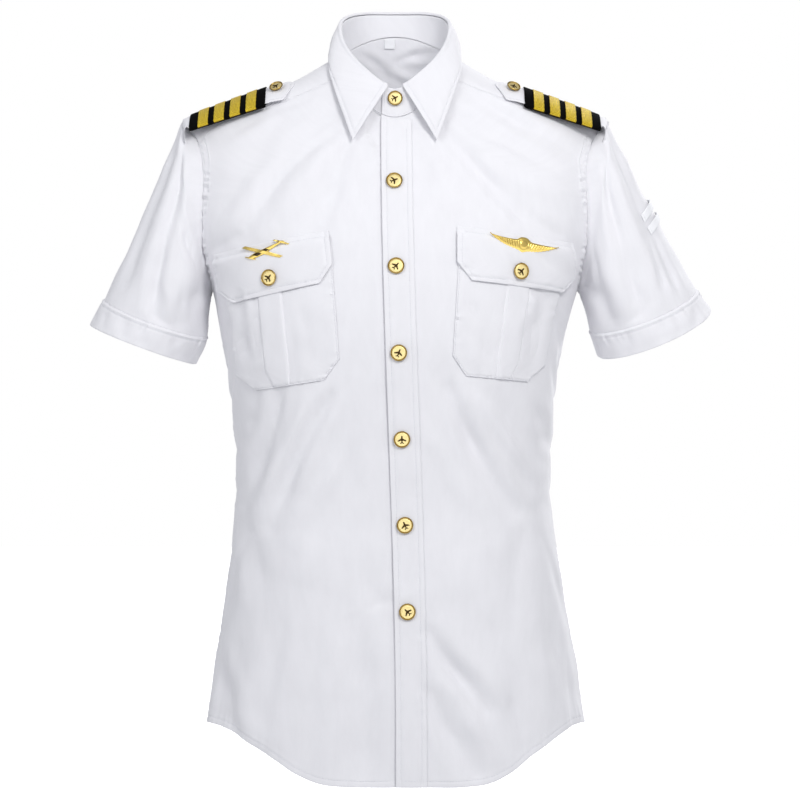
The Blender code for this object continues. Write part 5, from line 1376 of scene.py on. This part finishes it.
def sign_plate(centre, right, up, normal, radius, roll):
    """Points and faces of the aeroplane sign: a thin plate, mirrored about its own length, turned by
    roll and raised above the button's field."""
    along = np.array([np.cos(roll), np.sin(roll)])
    beside = np.array([-along[1], along[0]])
    swept = SIGN[:, :1] - SIGN_SWEEP * SIGN[:, 1:] * np.array([1.0, 0.0, 1.0])
    flat = swept[..., None] * along + SIGN[:, 1:, None] * np.array([-1.0, 0.0, 1.0])[:, None] * beside
    face = centre + (flat[..., :1] * right + flat[..., 1:] * up) * radius
    rows, columns = flat.shape[:2]
    size = rows * columns
    loop = rim_of(np.arange(size).reshape(rows, columns))
    after = np.roll(loop, -1)
    faces = [grid_faces(rows, columns, False), grid_faces(rows, columns, False, size)[:, ::-1]]
    faces.append(np.stack([loop, loop + size, after + size, after], axis=-1))
    return np.concatenate([(face + normal * h).reshape(-1, 3) for h in SIGN_FACES]), np.concatenate(faces)


def add_button(name, centre, normal, radius, roll, shank=0.0):
    """A profile turned round an axis, with the aeroplane sign turned by roll on its field, and a shank
    of the length asked for."""
    normal = unit(np.asarray(normal, float))
    right = unit(np.cross([0, 0, 1.0], normal))
    up = np.cross(normal, right)
    ring = np.arange(BUTTON_SIDES)
    turn = 2 * np.pi * ring / BUTTON_SIDES
    spokes = np.cos(turn)[:, None] * right + np.sin(turn)[:, None] * up
    profile = np.concatenate([BUTTON_PROFILE, [(0.28, -0.0001), (0.27, -shank - 0.0001)]])
    rings = centre + spokes * profile[:, :1, None] * radius + normal * profile[:, 1:, None]
    tip, foot = centre + normal * BUTTON_PROFILE[0][1], centre - normal * (shank + 0.0001)
    count, after = len(profile) * BUTTON_SIDES, np.roll(ring, -1)
    last = count - BUTTON_SIDES
    front_cap = np.stack([np.full(BUTTON_SIDES, count), ring, after], axis=-1)
    back_cap = np.stack([np.full(BUTTON_SIDES, count + 1), last + after, last + ring], axis=-1)
    turned = np.concatenate([split(grid_faces(len(profile), BUTTON_SIDES, True)), front_cap, back_cap])
    plate_points, plate = sign_plate(centre, right, up, normal, radius, roll)
    points = np.concatenate([rings.reshape(-1, 3), [tip, foot], plate_points])
    faces = np.concatenate([turned, split(plate + count + 2)[:, ::-1]])
    made = new_mesh("metal_" + name, points, faces, sharp=50)
    for finish in (button_rim, button_field, button_sign):
        made.data.materials.append(finish)
    half, field = (len(profile) - 1) * BUTTON_SIDES, RIM_FROM * BUTTON_SIDES
    which = np.zeros(len(faces), int)
    which[:field] = which[half : half + field] = 1
    which[2 * half : 2 * half + BUTTON_SIDES] = 1
    which[len(turned) :] = 2
    made.data.polygons.foreach_set("material_index", which)
    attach(made, "root")
    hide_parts(name)


def place_button(name, x, z, outside, roll):
    """A button whose shank lies on the shirt's front at x, z, outside its body form."""
    normal = body_normal(angle_at(x, z), np.asarray(z))
    add_button(name, on_front(x, z, outside + BUTTON_RISE), normal, BUTTON_RADIUS, roll)


x, z = COLLAR_BUTTON
collar_turn = np.degrees(np.arcsin(x / STAND_HALF))
foot, top = body(*neck(collar_turn)), stand_top(collar_turn)
out = np.cross([1.0, 0, 0], unit(top - foot))
seat = foot + (top - foot) * (z - foot[2]) / (top[2] - foot[2]) + out * COLLAR_BUTTON_RISE
add_button("button_collar", seat, out, COLLAR_BUTTON_RADIUS, 0.5)
for number, z in enumerate(BUTTON_LEVELS, 1):
    place_button(f"button_front_{number}", placket_edge(z) + BUTTON_IN, z, LIFT + WALL, 0.4 * number)
for side, hand in ((-1, "right"), (1, "left")):
    x, z = POCKET_BUTTON[side]
    place_button("button_pocket_" + hand, x, z, pocket_base(x) + FLAP_STEP + WALL, 0.8)
    lift = strap_base(STRAP_BUTTON_X) + WALL + STRAP_BUTTON_RISE
    seat, normal = on_strap(np.array(side * STRAP_BUTTON_X), -STRAP_BUTTON_AHEAD, lift)
    lean = np.array([0, -np.tan(np.radians(STRAP_BUTTON_LEAN)), 0])
    add_button("button_strap_" + hand, seat, normal + lean, STRAP_BUTTON_RADIUS, 1.0, STRAP_SHANK)


# ---- Pins -----------------------------------------------------------------------------------------
# Two pressed gold pins held through the flaps: a pair of feathered wings on a round boss, and a light
# aeroplane with a dark canopy.
WINGS_CENTRE, WINGS_HALF, WINGS_TILT = (0.1232, -0.1839), 0.0330, -0.182
PLANE_CENTRE, PLANE_TILT, PLANE_LEAN = (-0.1261, -0.1948), 3.605, -1.10
PIN_THICK, PIN_LIFT = 0.0012, 0.0004
# The wings' boss: way below their middle, radius and the radius of its ring; feathers to a metre
BOSS_DOWN, BOSS_RADIUS, BOSS_RING, FEATHERS = 0.0045, 0.0050, 0.0040, 420
# The aeroplane's canopy: from and to along it, middle bar, half width
CANOPY_FROM, CANOPY_TO, CANOPY_BAR, CANOPY_HALF = -0.0060, 0.0085, 0.0012, 0.0017
# Half of the aeroplane from above, propeller to tail: distance along it, half width
PLANE_HALF = np.array(
    (
        (0.0132, 0.0007),
        (0.0130, 0.0034),
        (0.0120, 0.0034),
        (0.0117, 0.0016),
        (0.0090, 0.0022),
        (0.0026, 0.0026),
        (0.0021, 0.0125),
        (-0.0017, 0.0125),
        (-0.0023, 0.0022),
        (-0.0140, 0.0011),
        (-0.0182, 0.0009),
        (-0.0186, 0.0050),
        (-0.0206, 0.0050),
        (-0.0211, 0.0010),
        (-0.0220, 0.0006),
    )
)
pin_gold = metal("pin gold", (0.62, 0.46, 0.13), 0.32, 0.5, 0.0016, 0.00005)
pin_dark = metal("pin enamel", (0.05, 0.035, 0.02), 0.35, 0.5, 0.0016, 0.00002)


def on_pin(centre, tilt, u, v, lift):
    """A pin's own u, v turned by tilt and laid over the flap, at a height above it."""
    x = centre[0] + u * np.cos(tilt) - v * np.sin(tilt)
    z = centre[1] + u * np.sin(tilt) + v * np.cos(tilt)
    return on_front(x, z, pocket_base(x) + FLAP_STEP + WALL + lift)


share, v = np.meshgrid(np.linspace(-1, 1, 181), np.linspace(0, 1, 15), indexing="ij")
far = np.abs(share)
top_line = 0.0026 * np.exp(-((share * WINGS_HALF / 0.0055) ** 4)) - 0.0010 * np.sin(np.pi * far)
low_line = -0.0100 * (1 - far**2.2) + 0.0004 * np.abs(np.sin(share * 34)) * ramp((far - 0.15) / 0.1)
low_line = low_line - 0.0016 * bell(share * WINGS_HALF / 0.003)
across = low_line + np.maximum(top_line - low_line, 0.0007) * v
u = share * WINGS_HALF
from_boss = np.hypot(u, across + BOSS_DOWN)
boss = bell(from_boss / BOSS_RADIUS)
feather = np.abs(np.sin(np.pi * (u * FEATHERS + np.sign(u) * (1 - v) * 1.4)))
feather = (0.00080 * feather - 0.0004) * (1 - boss) * ramp((far - 0.12) / 0.06)
feather = feather * np.sin(np.pi * np.clip(v, 0.04, 0.96))
shaft = 0.0005 * bell((v - 0.80) / 0.14) * ramp((far - 0.14) / 0.05)
ridge = 0.0006 * np.sin(np.pi * v) + 0.0008 * np.minimum(1.8 * boss, 1) + feather + shaft
ring_groove = -0.0005 * bell((from_boss - BOSS_RING) / 0.0005)
outer = on_pin(WINGS_CENTRE, WINGS_TILT, u, across, PIN_LIFT + PIN_THICK * 0.6 + ridge + ring_groove)
inner = on_pin(WINGS_CENTRE, WINGS_TILT, u, across, np.full(u.shape, PIN_LIFT))
wings = shell("wings_pin", outer, inner, pin_gold)
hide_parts("pin_wings")

u = np.linspace(0, len(PLANE_HALF) - 1, 101)
half = np.stack([np.interp(u, np.arange(len(PLANE_HALF)), PLANE_HALF[:, k]) for k in (0, 1)], axis=-1)
share = np.linspace(-1, 1, 13)
reach = half[:, 1:] * share
u, v = half[:, :1] + PLANE_LEAN * reach, reach
body_part = ramp((0.0060 - half[:, 1:]) / 0.003)
spine = 0.0012 * bell(v / 0.0018) + 0.0003 * (1 - np.abs(share)) * (1 - body_part)
outer = on_pin(PLANE_CENTRE, PLANE_TILT, u, v, PIN_LIFT + PIN_THICK * 0.7 + spine)
inner = on_pin(PLANE_CENTRE, PLANE_TILT, u, v, np.full(u.shape, PIN_LIFT))
plane = shell("aeroplane_pin", outer, inner, pin_gold)
plane.data.materials.append(pin_dark)
along = half[:, :1]
cabin = (along > CANOPY_FROM) & (along < CANOPY_TO) & (np.abs(along - CANOPY_BAR) > 0.0009)
canopy = np.broadcast_to(cabin, u.shape) & (np.abs(v) < CANOPY_HALF)
quads = (canopy[:-1, :-1] & canopy[1:, 1:]).ravel()
which = np.zeros(len(plane.data.polygons), int)
which[: len(quads)] = quads
plane.data.polygons.foreach_set("material_index", which)
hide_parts("pin_plane")


# ---- Tape loops and neck tape ---------------------------------------------------------------------
# Two short cotton tapes sewn down at both ends on the left sleeve to hold pens, and a small folded
# tape that hangs bare from the back neck seam.
# Degrees round the sleeve and row down it
LOOPS = {"pen_loop_upper": (18, 4.42), "pen_loop_lower": (18, 4.83)}
# Half the loop's way round in degrees, half its width in the sleeve's rows, its height in the middle
LOOP_ARC, LOOP_ROWS, LOOP_RISE = 20, 0.12, 0.0020
LABEL_TOP, LABEL_HALF, LABEL_TALL = (-0.0058, 0.0300), 0.0056, 0.0098
LABEL_DROP, LABEL_THICK, LABEL_CURL = 0.0010, 0.0010, 0.0006
tape = woven("cotton tape", (0.84, 0.845, 0.87), 0.78, 0.0008, 0.00010, 0.0001, 0.02)
FACE_ROW, FACE_DEGREES = 0.04, 2
sleeve_face = sleeve_form(1, np.arange(0, 8.01, FACE_ROW), np.radians(np.arange(0, 360.0, FACE_DEGREES)))


def between(grid, row, column):
    """Values of a grid at shares of rows and columns, read evenly between its four nearest points; its
    columns run round."""
    r, c = np.floor(row).astype(int), np.floor(column).astype(int)
    b, a = (row - r)[..., None], (column - c)[..., None]
    after = (c + 1) % grid.shape[1]
    c = c % grid.shape[1]
    upper, lower = (grid[k, c] * (1 - a) + grid[k, after] * a for k in (r, r + 1))
    return upper * (1 - b) + lower * b


for name, (degrees, level) in LOOPS.items():
    along = np.linspace(-1, 1, 41)
    across = spread(0.009, 0.0010, (0, 0.25, 0.6, 1.0)) * 2 - 1
    turned, lined = np.meshgrid(degrees + along * LOOP_ARC, level + across * LOOP_ROWS, indexing="ij")
    seat, out = (between(g, lined / FACE_ROW, np.mod(turned, 360) / FACE_DEGREES) for g in sleeve_face)
    out = unit(out)
    rise = (LIFT + LOOP_RISE * (1 - along**4))[:, None]
    ends = 0.0003 * bell((np.abs(along) - 0.86) / 0.05)[:, None]
    outer, inner = (seat + out * lift[..., None] for lift in (rise + WALL - ends, rise))
    loop = shell("tape_" + name, outer, inner, tape)
    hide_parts(name)

x0, z0 = LABEL_TOP
x, z = np.meshgrid(
    x0 + (2 * spread(2 * LABEL_HALF, 0.0008, (0, 0.3, 0.8)) - 1) * LABEL_HALF,
    z0 - spread(LABEL_TALL, 0.0008, (0, 0.3, 0.8)) * LABEL_TALL - LABEL_DROP,
)
label_angle = np.pi - angle_at(x, z)
curl = LABEL_CURL * ramp((z0 - z - 0.006) / 0.004)
inside = body(label_angle, z, -WALL - LIFT - curl)
label = shell("neck_tape", inside - body_normal(label_angle, z) * LABEL_THICK, inside, tape)
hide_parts("neck_label")


# ---- Studio ---------------------------------------------------------------------------------------
# A pale floor under the shirt, a pale surround, soft lights and the photograph's level view.
FLOOR_HALF, FLOOR_LEVEL = 9.0, -0.90
corners = [(x * FLOOR_HALF, y * FLOOR_HALF, FLOOR_LEVEL) for x, y in ((-1, -1), (1, -1), (1, 1), (-1, 1))]
studio_floor = new_mesh("studio_floor", corners, [[0, 1, 2, 3]])
paint, tree, shader = shader_of("floor paint", (0.92, 0.92, 0.93), 0.9)
grain = add_node(tree, "ShaderNodeTexNoise", {"Scale": 40.0})
raised(tree, shader, grain.outputs["Fac"], 0.05, 0.001)
shader.inputs["Emission Color"].default_value = (1, 1, 1, 1)
shader.inputs["Emission Strength"].default_value = 1.0
studio_floor.data.materials.append(paint)
studio_floor.visible_diffuse = False

world = bpy.data.worlds.new("studio")
bpy.context.scene.world = world
world.use_nodes = True
tree = world.node_tree
surround = tree.nodes["Background"]
surround.inputs["Color"].default_value = (1, 1, 1, 1)
surround.inputs["Strength"].default_value = 1.0
glow = add_node(tree, "ShaderNodeBackground", {"Color": (0.94, 0.955, 1.0, 1), "Strength": 0.56})
seen = add_node(tree, "ShaderNodeLightPath")
either = add_node(tree, "ShaderNodeMixShader")
tree.links.new(seen.outputs["Is Camera Ray"], either.inputs["Fac"])
tree.links.new(glow.outputs["Background"], either.inputs[1])
tree.links.new(surround.outputs["Background"], either.inputs[2])
tree.links.new(either.outputs["Shader"], tree.nodes["World Output"].inputs["Surface"])

# name, place, aimed at, size, power, colour
LIGHTS = (
    ("key", (0.70, -1.75, 0.80), (0.0, 0.0, -0.16), 0.6, 20.5, (1.0, 0.995, 0.985)),
    ("fill", (-1.4, -2.0, 0.60), (0.0, 0.0, -0.22), 0.9, 12.5, (0.98, 0.99, 1.0)),
    ("top", (0.0, 0.2, 1.9), (0.0, 0.0, -0.20), 1.0, 2.5, (1.0, 1.0, 1.0)),
    ("behind", (1.5, 2.2, 0.9), (0.0, 0.0, -0.35), 0.8, 34, (1.0, 1.0, 1.0)),
    ("inside", (0.0, -0.03, -0.12), (0.0, 0.055, 0.0), 0.08, 0.045, (0.95, 0.97, 1.0)),
)
for name, place, aim, size, power, colour in LIGHTS:
    lamp = bpy.data.lights.new(name, "AREA")
    lamp.shape, lamp.size, lamp.energy, lamp.color = "SQUARE", size, power, colour
    holder = bpy.data.objects.new(name, lamp)
    bpy.context.scene.collection.objects.link(holder)
    holder.location = place
    way = holder.location.copy()
    way.x, way.y, way.z = (p - a for p, a in zip(place, aim))
    holder.rotation_euler = way.to_track_quat("Z", "Y").to_euler()

VIEW = (0.005, -3.2, -0.338)
lens = bpy.data.cameras.new("view")
lens.lens, lens.sensor_width, lens.clip_end = 144, 36, 60
camera = bpy.data.objects.new("view", lens)
camera.location, camera.rotation_euler = VIEW, (np.pi / 2, 0, 0)
bpy.context.scene.collection.objects.link(camera)
bpy.context.scene.camera = camera
bpy.context.scene.view_settings.view_transform = "Standard"
